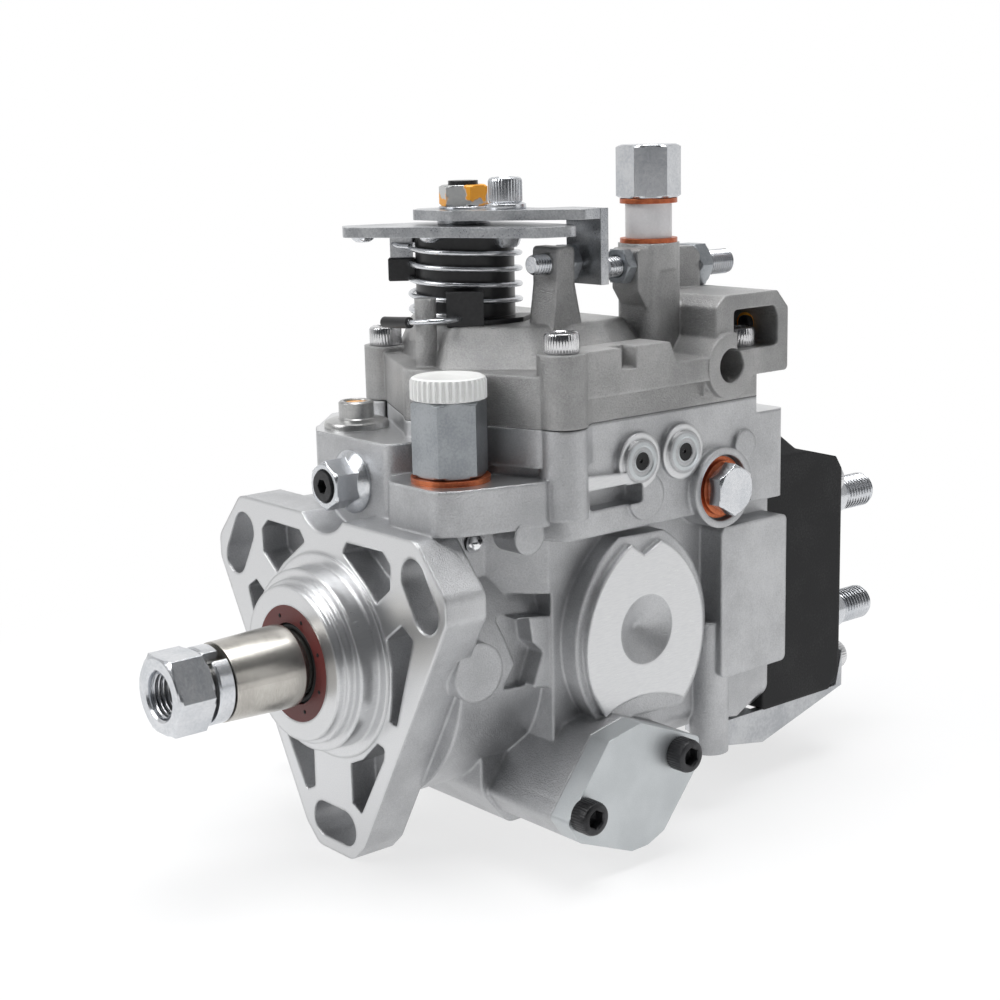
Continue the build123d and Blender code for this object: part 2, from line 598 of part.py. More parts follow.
with BuildPart() as spring_yoke:
    with BuildSketch(station(YOKE_START)) as yoke_face:
        SlotOverall(2 * (SPRING_X + SPRING_R + 2), 18)
        Circle(PLUNGER_R + 0.5, mode=Mode.SUBTRACT)
    extrude(amount=-YOKE_T)
    for side in (-1, 1):
        drum(YOKE_START + YOKE_T, YOKE_START + YOKE_T + 9, 3.6, side * SPRING_X, 0)
finish(spring_yoke, "spring_yoke")


def coil(foot, direction, length, radius, wire, turns):
    """Add a coil spring of square wire that fills the given length from its foot."""
    way = Vector(direction)
    begin = Vector(foot) + way * wire * 0.6
    rise = length - wire * 1.2
    with BuildLine() as path:
        Helix(pitch=rise / turns, height=rise, radius=radius, center=begin, direction=way)
    with BuildSketch(Plane(origin=path.line @ 0, z_dir=path.line % 0)) as section:
        Rectangle(wire, wire)
    sweep(section.sketch, path=path.line, is_frenet=True)


with BuildPart() as plunger_springs:
    for side in (-1, 1):
        coil((side * SPRING_X, YOKE_START + YOKE_T, 0), (0, 1, 0), HEAD_SPIGOT_START - YOKE_START - YOKE_T,
             SPRING_R, SPRING_WIRE, 6)
finish(plunger_springs, "plunger_springs")

COLLAR_R = 11.8
BALL_R = 2.4
BALL_Z = 10.5

with BuildPart() as control_collar:
    drum(COLLAR_START, COLLAR_START + COLLAR_T, COLLAR_R)
    drum(COLLAR_START, COLLAR_START + COLLAR_T, PLUNGER_R + RUN_FIT, mode=Mode.SUBTRACT)
    post(BALL_Z - 3, COLLAR_R + 1, BALL_R + 0.1, 0, LEVER_Y, Mode.SUBTRACT)
finish(control_collar, "control_collar")

# Distributor head
HEAD_X = 48.0
HEAD_START = HOUSING_END
SPIGOT_R = CHAMBER_R - RUN_FIT
PORT_R = 7.0

with BuildPart() as distributor_head:
    slab(Plane.YZ.offset(-HEAD_X), [(HEAD_START, 55), (152, 52), (155, 47.5), (174, 42.5), (HEAD_END, 38),
         (HEAD_END, -33), (172, -38), (HEAD_START, -38)], 2 * HEAD_X, corner=1.2)
    drum(HEAD_SPIGOT_START, HEAD_START, SPIGOT_R)
    for side in (-1, 1):
        slab(station(HEAD_START - 1), [(side * 50, 60), (side * 50, 44), (side * 34, 60)], -60,
             mode=Mode.SUBTRACT)
    drum(HEAD_SPIGOT_START, HEAD_END - 8, BARREL_R + SEAT_FIT, mode=Mode.SUBTRACT)
    drum(HEAD_END - 12, HEAD_END, PORT_R + SEAT_FIT, mode=Mode.SUBTRACT)
    for px, pz in PORTS:
        drum(HEAD_END - 22, HEAD_END, PORT_R + SEAT_FIT, px, pz, Mode.SUBTRACT)
    for px, pz in HEAD_SCREWS:
        drum(HEAD_START, HEAD_END, TIMING_SCREW_R + SEAT_FIT, px, pz, Mode.SUBTRACT)
finish(distributor_head, "distributor_head")

with BuildPart() as plunger_barrel:
    drum(HEAD_SPIGOT_START - 5, HEAD_END - 13, BARREL_R)
    drum(HEAD_SPIGOT_START - 5, HEAD_END - 13, PLUNGER_R + RUN_FIT, mode=Mode.SUBTRACT)
finish(plunger_barrel, "plunger_barrel")

with BuildPart() as centre_plug:
    drum(HEAD_END - 11, HEAD_END, PORT_R)
    hexagon(station(HEAD_END), 17, -8)
finish(centre_plug, "centre_plug")

HOLDER_END = HEAD_END + 43.0

with BuildPart() as delivery_holders:
    for px, pz in PORTS:
        drum(HEAD_END - 16, HEAD_END, PORT_R, px, pz)
        hexagon(station(HEAD_END), 14, -14, px, pz)
        drum(HEAD_END + 14, HEAD_END + 28, 6.6, px, pz)
        drum(HEAD_END + 28, HOLDER_END, 6.0, px, pz)
        drum(HEAD_END + 20, HOLDER_END, 1.4, px, pz, Mode.SUBTRACT)
    thread_mouths = delivery_holders.edges().filter_by(GeomType.CIRCLE).group_by(Axis.Y)[-1]
    chamfer(thread_mouths, 0.9)
finish(delivery_holders, "delivery_holders")

# Governor
GOV_GEAR_ANGLE = -90 + 180 / DRIVEN_TEETH
HEEL_R = 1.4
HEEL_AT = 12.0
HEEL_Y = GEAR_START + GEAR_T + 1.6
TOE_IN = 7.3
WEIGHT_END = HEEL_Y + 15.0

with BuildPart() as governor_carrier:
    toothed_disc(DRIVEN_TEETH, GOV_GEAR_ANGLE, 0, GOV_Z)
    with BuildSketch(station(GEAR_START + GEAR_T)) as cage:
        with Locations((0, GOV_Z)):
            with PolarLocations(13.2, 4, start_angle=45):
                Rectangle(5.6, 6)
    extrude(amount=-17)
    drum(GEAR_START, GEAR_START + GEAR_T, STUD_R + RUN_FIT, 0, GOV_Z, Mode.SUBTRACT)
finish(governor_carrier, "governor_carrier")


def flyweight(angle, name):
    """Make one L-shaped flyweight that stands at the given angle round the governor shaft."""
    outward = (math.cos(math.radians(angle)), 0, math.sin(math.radians(angle)))
    across = (-math.sin(math.radians(angle)), 0, math.cos(math.radians(angle)))
    with BuildPart() as weight:
        with BuildSketch(Plane(origin=(0, 0, GOV_Z), x_dir=outward, z_dir=across)) as side:
            with BuildLine():
                Polyline((TOE_IN, HEEL_Y - 0.6), (TOE_IN + 0.4, HEEL_Y + 0.9), (10.4, HEEL_Y + 0.9),
                         (10.4, WEIGHT_END), (13.4, WEIGHT_END), (13.4, HEEL_Y), (12.6, HEEL_Y - 1.3),
                         (11.4, HEEL_Y - 1.3), close=True)
            make_face()
        extrude(side.sketch, amount=5, both=True)
        with BuildSketch(Plane(origin=(0, 0, GOV_Z), x_dir=outward, z_dir=across)) as heel:
            with Locations((HEEL_AT, HEEL_Y)):
                Circle(HEEL_R)
        extrude(heel.sketch, amount=5, both=True)
    finish(weight, name)


flyweight(0, "flyweight_right")
flyweight(90, "flyweight_top")
flyweight(180, "flyweight_left")
flyweight(270, "flyweight_bottom")

FLANGE_START = HEEL_Y + 1.1
LEVER_FACE = 7.5
SLEEVE_GAP = 0.35
SLEEVE_END = LEVER_Y - LEVER_FACE - SLEEVE_GAP

with BuildPart() as governor_sleeve:
    drum(FLANGE_START, FLANGE_START + 1.6, 9.7, 0, GOV_Z)
    drum(FLANGE_START, SLEEVE_END, SLEEVE_R, 0, GOV_Z)
    # Domed end, so that the lever touches only its middle
    fillet(governor_sleeve.faces().sort_by(Axis.Y)[-1].edges(), SLEEVE_R - 0.4)
    drum(FLANGE_START, STUD_END + 2, STUD_R + RUN_FIT, 0, GOV_Z, Mode.SUBTRACT)
finish(governor_sleeve, "governor_sleeve")

with BuildPart() as governor_shaft:
    drum(STUD_START, STUD_END, STUD_R, 0, GOV_Z)
    hexagon(station(STUD_START), 4, -3, 0, GOV_Z, mode=Mode.SUBTRACT)
finish(governor_shaft, "governor_shaft")

with BuildPart() as governor_nut:
    hexagon(station(3.0), 13, -(GOV_WALL_Y - 3.0), 0, GOV_Z, turn=30)
    drum(GOV_WALL_Y - 1.8, GOV_WALL_Y, 9.5, 0, GOV_Z)
    drum(3.0, GOV_WALL_Y, STUD_R + SEAT_FIT, 0, GOV_Z, Mode.SUBTRACT)
finish(governor_nut, "governor_nut")

TUBE_R = 5.2
TENSION_Y = LEVER_Y + 2.6
ANCHOR_Z = 73.5

with BuildPart() as start_lever:
    peg(-25, 34, TUBE_R, LEVER_Y, LEVER_PIVOT_Z)
    block((-9, LEVER_Y - LEVER_FACE, LEVER_PIVOT_Z), (9, LEVER_Y - LEVER_FACE + 2.5, GOV_Z + 8))
    block((-9, LEVER_Y - LEVER_FACE + 0.9, LEVER_PIVOT_Z - 3), (9, LEVER_Y, LEVER_PIVOT_Z + 3))
    block((-5, LEVER_Y - 1.5, BALL_Z + 8), (5, LEVER_Y + 1.5, LEVER_PIVOT_Z - 3))
    post(BALL_Z, BALL_Z + 9, 1.4, 0, LEVER_Y)
    with Locations((0, LEVER_Y, BALL_Z)):
        Sphere(BALL_R)
    peg(-26, 35, PIVOT_R + RUN_FIT, LEVER_Y, LEVER_PIVOT_Z, Mode.SUBTRACT)
finish(start_lever, "start_lever")

with BuildPart() as tension_lever:
    slab(Plane.XZ.offset(-TENSION_Y), [(-9, LEVER_PIVOT_Z + 6), (9, LEVER_PIVOT_Z + 6), (5, ANCHOR_Z + 3),
         (-5, ANCHOR_Z + 3)], -2.5)
    for side in (-1, 1):
        block((side * 8 - 1, LEVER_Y - 1, LEVER_PIVOT_Z + TUBE_R + 0.02),
              (side * 8 + 1, TENSION_Y + 2, LEVER_PIVOT_Z + 12))
    drum(TENSION_Y - 1, TENSION_Y + 4, 1.4, 0, ANCHOR_Z, Mode.SUBTRACT)
finish(tension_lever, "tension_lever")

with BuildPart() as pivot_bolts:
    peg(34 - 6, PIVOT_SEAT_X - 4, PIVOT_R, LEVER_Y, LEVER_PIVOT_Z)
    peg(48, PIVOT_SEAT_X + 3.2, PIVOT_THREAD_R, LEVER_Y, LEVER_PIVOT_Z)
    hexagon(Plane.YZ.offset(PIVOT_SEAT_X + 3.2), 14, 5.5, LEVER_Y, LEVER_PIVOT_Z, turn=30)
    peg(LEFT_X + 2, -19, PIVOT_R, LEVER_Y, LEVER_PIVOT_Z)
    peg(LEFT_X - 1.6, -37, PIVOT_THREAD_R, LEVER_Y, LEVER_PIVOT_Z)
    hexagon(Plane.YZ.offset(LEFT_X - 1.6), 14, -5.5, LEVER_Y, LEVER_PIVOT_Z, turn=30)
finish(pivot_bolts, "pivot_bolts")

# Timing device
PISTON_HALF = 27.0

with BuildPart() as timing_piston:
    peg(-PISTON_HALF, PISTON_HALF, PISTON_R, TIMING_Y, TIMING_Z)
    peg(-PISTON_HALF, -10, 6, TIMING_Y, TIMING_Z, Mode.SUBTRACT)
    peg(10, PISTON_HALF, 6, TIMING_Y, TIMING_Z, Mode.SUBTRACT)
    with BuildSketch(station(TIMING_Y - PISTON_R - 1)) as block_slot:
        with Locations((0, TIMING_Z)):
            SlotOverall(11.4, 10.8, rotation=90)
    extrude(amount=-(2 * PISTON_R + 2), mode=Mode.SUBTRACT)
    with BuildSketch(Plane.XY.offset(TIMING_Z)) as pin_way:
        with Locations((0, TIMING_Y)):
            SlotOverall(8.4, 6.2)
    extrude(amount=PISTON_R + 1, mode=Mode.SUBTRACT)
finish(timing_piston, "timing_piston")

with BuildPart() as timing_block:
    drum(TIMING_Y - 5.5, TIMING_Y + 5.5, 5.1, 0, TIMING_Z)
    post(TIMING_Z - 6, TIMING_Z + 6, TIMING_PIN_R + SEAT_FIT, 0, TIMING_Y, Mode.SUBTRACT)
finish(timing_block, "timing_block")

with BuildPart() as timing_spring:
    coil((-TIMING_FACE_X, TIMING_Y, TIMING_Z), (1, 0, 0), TIMING_FACE_X - 10, 4.3, 1.8, 8)
finish(timing_spring, "timing_spring")


with BuildPart() as timing_covers:
    for side in (-1, 1):
        slab(Plane.YZ.offset(side * TIMING_FACE_X), TIMING_OUTLINE, side * TIMING_COVER_T, corner=2)
        for place_y, place_z in TIMING_SCREWS:
            peg(side * TIMING_FACE_X, side * (TIMING_FACE_X + TIMING_COVER_T), TIMING_SCREW_R + SEAT_FIT,
                place_y, place_z, Mode.SUBTRACT)
finish(timing_covers, "timing_covers")

with BuildPart() as timing_screws:
    for side in (-1, 1):
        seat = TIMING_FACE_X + TIMING_COVER_T
        for place_y, place_z in TIMING_SCREWS:
            peg(side * (TIMING_FACE_X - 12), side * seat, TIMING_SCREW_R, place_y, place_z)
            peg(side * seat, side * (seat + 6), 5.1, place_y, place_z)
            hexagon(Plane.YZ.offset(side * (seat + 6)), 5, -side * 3.5, place_y, place_z, mode=Mode.SUBTRACT)
finish(timing_screws, "timing_screws")

# Fittings on the housing
CAP_R = 10.7
CAP_H = 6.5
INLET_TOP_Z = 78.4

with BuildPart() as inlet_fitting:
    hexagon(Plane.XY.offset(INLET_SEAT_Z + 1.5), INLET_FLATS, INLET_TOP_Z - INLET_SEAT_Z - 1.5,
            INLET_X, INLET_Y, turn=15)
    post(INLET_SEAT_Z - 11, INLET_SEAT_Z + 1.5, INLET_R, INLET_X, INLET_Y)
    post(INLET_SEAT_Z - 11, INLET_TOP_Z, 4.2, INLET_X, INLET_Y, Mode.SUBTRACT)
finish(inlet_fitting, "inlet_fitting")

with BuildPart() as inlet_cap:
    post(INLET_TOP_Z, INLET_TOP_Z + CAP_H, CAP_R, INLET_X, INLET_Y)
    post(INLET_TOP_Z - 8, INLET_TOP_Z, 4.15, INLET_X, INLET_Y)
finish(inlet_cap, "inlet_cap")

with BuildPart() as regulating_valve:
    post(VALVE_SEAT_Z, VALVE_SEAT_Z + 2.4, 9.9, VALVE_X, VALVE_Y)
    post(VALVE_SEAT_Z + 2.4, VALVE_SEAT_Z + 8, 5.35, VALVE_X, VALVE_Y)
    post(VALVE_SEAT_Z - 21, VALVE_SEAT_Z, VALVE_R, VALVE_X, VALVE_Y)
    post(VALVE_SEAT_Z + 4.5, VALVE_SEAT_Z + 8, 3.6, VALVE_X, VALVE_Y, Mode.SUBTRACT)
finish(regulating_valve, "regulating_valve")

# Governor cover
COVER_Z = JOINT_Z + GASKET_T
COVER_INSIDE = [(-15.5, 40.3), (24.0, 40.3), (46.5, 57.5), (46.5, 119.5), (-35.5, 119.5), (-35.5, 60.0)]
DOME_FOOT = [(20, 30), (10, 35), (-8, 41), (-31, 52), (-31, 94), (42, 94), (46, 78), (40, 49)]
DOME_TOP = [(15.5, 37.5), (3, 38.5), (-8, 43.5), (-27, 56), (-27, 90), (36, 90), (38.5, 76), (33, 53)]
DOME_INSIDE = [(-24, 57), (-24, 86), (31, 86), (34, 75), (29, 56), (12, 44), (3, 43), (-7, 47)]
DOME_EDGE_R = 3.0
TAIL_POST_X = 10.5
TAIL_POST_Y = 32.5
TAIL_POST_R = 3.2
TAIL_POST_TOP_Z = 104.0
LUG_Y = 110.3
LUG_Z = 80.5
LUG_HOLE_R = 5.3
PILLAR_TOP_Z = 117.3
BANJO_X = 36.0
BANJO_Y = 99.0
BANJO_R = 6.0
NECK_R = 9.0
NECK_TOP_Z = 119.6
IDLE_X = 31.0
IDLE_Z = 113.0
MAX_X = 37.0
MAX_Z = 111.0
FULL_X = 24.0
FULL_Z = 108.0
SCREW_R = 3.0

with BuildPart() as cover_gasket:
    slab(Plane.XY.offset(JOINT_Z), COVER_PLAN, GASKET_T, corner=3)
    slab(Plane.XY.offset(JOINT_Z), CHAMBER_PLAN, GASKET_T, corner=1.5, mode=Mode.SUBTRACT)
    for place_x, place_y, seat in COVER_SCREWS:
        post(JOINT_Z, COVER_Z, SCREW_R + SEAT_FIT, place_x, place_y, Mode.SUBTRACT)
finish(cover_gasket, "cover_gasket")

with BuildPart() as governor_cover:
    slab(Plane.XY.offset(COVER_Z), COVER_PLAN, LEDGE_Z - COVER_Z, corner=3)
    # Outer rib along the timing side, stepped down behind the column
    slab(Plane.YZ.offset(48), [(44, RIB_BOTTOM_Z), (44, RIB_TOP_Z), (84, RIB_TOP_Z), (87, LEDGE_Z - 0.3),
         (120, LEDGE_Z - 0.3), (120, RIB_BOTTOM_Z)], RIB_X - 48, corner=0.8)
    post(COVER_Z, RIB_TOP_Z, 7.2, 55.0, 46.0)
    post(COVER_Z, 86.0, 6.8, -28.0, 46.0)
    block((RIB_X - 6, 64.5, LEDGE_Z), (RIB_X + 1, 70.5, RIB_TOP_Z + 1), mode=Mode.SUBTRACT)
    # Raised dome over the governor spring
    with BuildSketch(Plane.XY.offset(LEDGE_Z)) as dome:
        with BuildLine():
            Polyline(*DOME_FOOT, close=True)
        make_face()
        fillet(dome.vertices(), 4)
    with BuildSketch(Plane.XY.offset(DOME_Z)) as dome_top:
        with BuildLine():
            Polyline(*DOME_TOP, close=True)
        make_face()
        fillet(dome_top.vertices(), 4)
    loft()
    fillet(governor_cover.faces().filter_by(Axis.Z).sort_by(Axis.Z)[-1].edges(), DOME_EDGE_R)
    # Post for the tail of the return spring
    post(LEDGE_Z - 1, TAIL_POST_TOP_Z, TAIL_POST_R, TAIL_POST_X, TAIL_POST_Y)
    # Neck that carries the lever shaft
    post(DOME_Z - 6, NECK_TOP_Z, NECK_R, LEVER_X, LEVER_SHAFT_Y)
    post(DOME_Z - 6, DOME_Z - 1, BUSH_R + 2.5, LEVER_X, LEVER_SHAFT_Y)
    # Rear block and its through lug
    slab(Plane.YZ.offset(20), [(105, 76.5), (105, 98), (109, 101.5), (132, 101.5), (137, 96), (137, 76.5)],
         38.5, corner=1.5)
    peg(40, 60.0, 10.0, LUG_Y, LUG_Z)
    block((40, 100.5, 72), (57.5, LUG_Y, LUG_Z))
    # Pillar for the return connection and its forward screw lug
    with BuildSketch(Plane.XY.offset(LEDGE_Z - 4)) as pillar:
        with Locations((BANJO_X, BANJO_Y)):
            RectangleRounded(16, 15, 4)
    extrude(amount=PILLAR_TOP_Z - LEDGE_Z + 4)
    post(PILLAR_TOP_Z - 8, PILLAR_TOP_Z, 8.9, BANJO_X, BANJO_Y)
    slab(Plane.YZ.offset(MAX_X - 5.5), [(88, 104), (88, 116), (94, 116.5), (94, 95)], 11, corner=1.5)
    # Post for the idle screw
    slab(Plane.YZ.offset(IDLE_X - 5.5), [(58, LEDGE_Z), (61.5, 107), (61.5, 118), (68, 118), (68, 107), (73, LEDGE_Z)],
         11, corner=1.5)
    # Lug for the full load screw
    slab(Plane.YZ.offset(FULL_X - 6.5), [(112, 100), (112, 112), (115, 114.5), (124, 114.5), (127, 112),
         (127, 100)], 13, corner=1.5)
    # Hollow side
    slab(Plane.XY.offset(COVER_Z), COVER_INSIDE, LEDGE_Z - 4 - COVER_Z, corner=3, mode=Mode.SUBTRACT)
    slab(Plane.XY.offset(COVER_Z), DOME_INSIDE, DOME_Z - 4 - COVER_Z, corner=3, mode=Mode.SUBTRACT)
    post(DOME_Z - 8, DOME_Z - 3, 11.5, LEVER_X, LEVER_SHAFT_Y)
    slab(Plane.YZ.offset(40), [(112.5, 84.5), (112.5, 97), (131, 97), (132.5, 94), (132.5, 84.5)], 20, 1.5,
         Mode.SUBTRACT)
    # Bores
    peg(48, 61.0, LUG_HOLE_R, LUG_Y, LUG_Z, Mode.SUBTRACT)
    post(DOME_Z - 20, NECK_TOP_Z, CONTROL_R + RUN_FIT, LEVER_X, LEVER_SHAFT_Y, Mode.SUBTRACT)
    post(PILLAR_TOP_Z - 18, PILLAR_TOP_Z, BANJO_R + SEAT_FIT, BANJO_X, BANJO_Y, Mode.SUBTRACT)
    post(COVER_Z, PILLAR_TOP_Z - 10, 1.5, BANJO_X, BANJO_Y, Mode.SUBTRACT)
    drum(55, 75, SCREW_R + SEAT_FIT, IDLE_X, IDLE_Z, Mode.SUBTRACT)
    drum(85, 92.5, SCREW_R + SEAT_FIT, MAX_X, MAX_Z, Mode.SUBTRACT)
    drum(108, 130, SCREW_R + 1 + SEAT_FIT, FULL_X, FULL_Z, Mode.SUBTRACT)
    for place_x, place_y, seat in COVER_SCREWS:
        post(COVER_Z, seat, SCREW_R + SEAT_FIT, place_x, place_y, Mode.SUBTRACT)
        post(seat, seat + 8, 5.4, place_x, place_y, Mode.SUBTRACT)
finish(governor_cover, "governor_cover")


# Return connection
with BuildPart() as banjo_bolt:
    post(PILLAR_TOP_Z - 12, PILLAR_TOP_Z + 13.2, BANJO_R, BANJO_X, BANJO_Y)
    hexagon(Plane.XY.offset(PILLAR_TOP_Z + 13.2), 17, 16, BANJO_X, BANJO_Y, turn=15)
finish(banjo_bolt, "banjo_bolt")


with BuildPart() as banjo_sleeve:
    post(PILLAR_TOP_Z + 1.4, PILLAR_TOP_Z + 11.8, 7.05, BANJO_X, BANJO_Y)
    post(PILLAR_TOP_Z + 1.4, PILLAR_TOP_Z + 11.8, BANJO_R + SEAT_FIT, BANJO_X, BANJO_Y, Mode.SUBTRACT)
finish(banjo_sleeve, "banjo_sleeve")

# Adjusting screws with their lock nuts
FULL_LOAD_R = 4.0
with BuildPart() as adjusting_screws:
    drum(56, 73.2, SCREW_R, IDLE_X, IDLE_Z)
    drum(80.0, 92.4, SCREW_R, MAX_X, MAX_Z)
    drum(110, 146, FULL_LOAD_R, FULL_X, FULL_Z)
    block((FULL_X - 5, 143, FULL_Z - 0.6), (FULL_X + 5, 147, FULL_Z + 0.6), mode=Mode.SUBTRACT)
finish(adjusting_screws, "adjusting_screws")

with BuildPart() as lock_nuts:
    hexagon(station(68), 10, -3.6, IDLE_X, IDLE_Z)
    drum(68, 71.6, SCREW_R + SEAT_FIT, IDLE_X, IDLE_Z, Mode.SUBTRACT)
    hexagon(station(84.2), 10, -3.8, MAX_X, MAX_Z)
    drum(84.2, 88.0, SCREW_R + SEAT_FIT, MAX_X, MAX_Z, Mode.SUBTRACT)
    hexagon(station(127), 13, -6, FULL_X, FULL_Z)
    drum(127, 133, FULL_LOAD_R + SEAT_FIT, FULL_X, FULL_Z, Mode.SUBTRACT)
finish(lock_nuts, "lock_nuts")

# Control lever group
SHAFT_TOP_Z = 137.0
ANCHOR_R = 5.0
UPPER_TOP_Z = UPPER_PLATE_Z + PLATE_STOCK
ARM_SET = Plane(origin=(LEVER_X, LEVER_SHAFT_Y, LOWER_PLATE_Z), x_dir=(1, 0, 0), z_dir=(0, 0, 1))

with BuildPart() as control_shaft:
    post(DOME_Z - 12, SHAFT_TOP_Z, CONTROL_R, LEVER_X, LEVER_SHAFT_Y)
    post(DOME_Z - 12, DOME_Z - 8.2, 7.5, LEVER_X, LEVER_SHAFT_Y)
    post(ANCHOR_Z - 4, DOME_Z - 10, 2.0, LEVER_X, LEVER_SHAFT_Y + ANCHOR_R)
finish(control_shaft, "control_shaft")

with BuildPart() as lower_lever:
    with BuildSketch(ARM_SET) as lower_plan:
        with BuildLine():
            Polyline((-24, -28), (-15, -34), (14, -16), (38, -4), (42, 8), (34, 13), (10, 14), (-12, 12),
                     (-17, -6), close=True)
        make_face()
        fillet(lower_plan.vertices(), 3)
        Circle(CONTROL_R + SEAT_FIT, mode=Mode.SUBTRACT)
    extrude(amount=PLATE_STOCK)
finish(lower_lever, "lower_lever")

with BuildPart() as upper_lever:
    with BuildSketch(ARM_SET.offset(UPPER_PLATE_Z - LOWER_PLATE_Z)) as upper_plan:
        with BuildLine():
            Polyline((-12, -8), (-6, -15), (10, -13), (40, 12), (40.5, 21.5), (25.5, 21.5), (22, 12), (-6, 13),
                     close=True)
        make_face()
        fillet(upper_plan.vertices().sort_by(Axis.Y)[:-2], 3)
        Circle(CONTROL_R + SEAT_FIT, mode=Mode.SUBTRACT)
    extrude(amount=PLATE_STOCK)
    post(LOWER_PLATE_Z + PLATE_STOCK, UPPER_PLATE_Z, 8, LEVER_X, LEVER_SHAFT_Y)
    post(LOWER_PLATE_Z, UPPER_TOP_Z, CONTROL_R + SEAT_FIT, LEVER_X, LEVER_SHAFT_Y, Mode.SUBTRACT)
    post(LOWER_PLATE_Z, UPPER_TOP_Z, 2.5 + SEAT_FIT, LEVER_X + 16, LEVER_SHAFT_Y + 3, Mode.SUBTRACT)
    # Tab bent down between the two stop screws
    block((LEVER_X + 25.5, LEVER_SHAFT_Y + 18.5, 106.5), (LEVER_X + 40.5, LEVER_SHAFT_Y + 21.5, UPPER_TOP_Z))
finish(upper_lever, "upper_lever")

with BuildPart() as lever_fasteners:
    hexagon(Plane.XY.offset(UPPER_TOP_Z), 13, 5.5, LEVER_X, LEVER_SHAFT_Y, turn=10)
    post(UPPER_TOP_Z, UPPER_TOP_Z + 5.5, CONTROL_R + SEAT_FIT, LEVER_X, LEVER_SHAFT_Y, Mode.SUBTRACT)
    screw(LEVER_X + 16, LEVER_SHAFT_Y + 3, UPPER_TOP_Z, 5.1, 6, 2.5, 2.9, 5)
finish(lever_fasteners, "lever_fasteners")

BUSH_FOOT = [(0, 0), (12.0, -17.2), (19.7, -7.2), (20.3, 5.4), (13.5, 16.1)]
STOP_WAY = (0.768, -0.640, 0)
STOP_R = 19.9

with BuildPart() as spring_bush:
    post(DOME_Z, NECK_TOP_Z + 1.2, BUSH_R, LEVER_X, LEVER_SHAFT_Y)
    # Foot on the timing side and the stop in front of the lowest coil
    slab(Plane.XY.offset(DOME_Z), [(LEVER_X + dx, LEVER_SHAFT_Y + dy) for dx, dy in BUSH_FOOT], 1.4, corner=1.5)
    with BuildSketch(Plane(origin=(LEVER_X, LEVER_SHAFT_Y, DOME_Z), x_dir=STOP_WAY, z_dir=(0, 0, 1))) as stop:
        with Locations((STOP_R, 0)):
            Rectangle(3.6, 11)
    extrude(amount=10)
    post(DOME_Z, NECK_TOP_Z + 1.2, NECK_R + RUN_FIT, LEVER_X, LEVER_SHAFT_Y, Mode.SUBTRACT)
finish(spring_bush, "spring_bush")

RETURN_WIRE = 1.6
RETURN_R = BUSH_R + 0.3 + RETURN_WIRE * 0.85

with BuildPart() as return_spring:
    coil((LEVER_X, LEVER_SHAFT_Y, DOME_Z + 1.5), (0, 0, 1), 23, RETURN_R, RETURN_WIRE, 5)
finish(return_spring, "return_spring")

GOV_SPRING_START = LEVER_SHAFT_Y + ANCHOR_R + 2.3

with BuildPart() as governor_spring:
    coil((0, GOV_SPRING_START, ANCHOR_Z), (0, 1, 0), TENSION_Y - 0.3 - GOV_SPRING_START, 4.5, 1.5, 7)
finish(governor_spring, "governor_spring")

# Sealing washers of the fittings
with BuildPart() as copper_washers:
    post(INLET_SEAT_Z, INLET_SEAT_Z + 1.5, 11.4, INLET_X, INLET_Y)
    post(INLET_SEAT_Z, INLET_SEAT_Z + 1.5, INLET_R + SEAT_FIT, INLET_X, INLET_Y, Mode.SUBTRACT)
    for low in (PILLAR_TOP_Z, PILLAR_TOP_Z + 11.8):
        post(low, low + 1.4, 8.7, BANJO_X, BANJO_Y)
        post(low, low + 1.4, BANJO_R + SEAT_FIT, BANJO_X, BANJO_Y, Mode.SUBTRACT)
    peg(PIVOT_SEAT_X, PIVOT_SEAT_X + 1.6, 9.6, LEVER_Y, LEVER_PIVOT_Z)
    peg(PIVOT_SEAT_X + 1.6, PIVOT_SEAT_X + 3.2, 8.4, LEVER_Y, LEVER_PIVOT_Z)
    peg(PIVOT_SEAT_X, PIVOT_SEAT_X + 3.2, PIVOT_THREAD_R + SEAT_FIT, LEVER_Y, LEVER_PIVOT_Z, Mode.SUBTRACT)
    peg(LEFT_X - 1.6, LEFT_X, 8.4, LEVER_Y, LEVER_PIVOT_Z)
    peg(LEFT_X - 1.6, LEFT_X, PIVOT_THREAD_R + SEAT_FIT, LEVER_Y, LEVER_PIVOT_Z, Mode.SUBTRACT)
finish(copper_washers, "copper_washers")

# Bracket below the head, held by one head screw and by a bolt under the housing
BRACKET_T = 3.0
BRACKET_X = 44.0
BRACKET_BOLT = (32.0, 129.0)

with BuildPart() as rear_bracket:
    slab(Plane.YZ.offset(BRACKET_X), [(120, -38), (138.6, -38.05), (HEAD_END, -38.05), (HEAD_END + BRACKET_T, -26),
         (HEAD_END + BRACKET_T, -38.5), (140, -49.5), (120, -46)], BRACKET_T)
    block((33, HEAD_END, -38.5), (BRACKET_X + 1, HEAD_END + BRACKET_T, -23))
    block((22, 120, -38 - BRACKET_T), (BRACKET_X + 1, 137, -38))
    drum(HEAD_END, HEAD_END + BRACKET_T, SCREW_R + SEAT_FIT, HEAD_SCREWS[2][0], HEAD_SCREWS[2][1], Mode.SUBTRACT)
    post(-42, -37, 4.0 + SEAT_FIT, BRACKET_BOLT[0], BRACKET_BOLT[1], Mode.SUBTRACT)
finish(rear_bracket, "rear_bracket")

with BuildPart() as bracket_bolt:
    hexagon(Plane.XY.offset(-38 - BRACKET_T), 13, -5.3, BRACKET_BOLT[0], BRACKET_BOLT[1])
    post(-38 - BRACKET_T, -38, 4.0, BRACKET_BOLT[0], BRACKET_BOLT[1])
finish(bracket_bolt, "bracket_bolt")

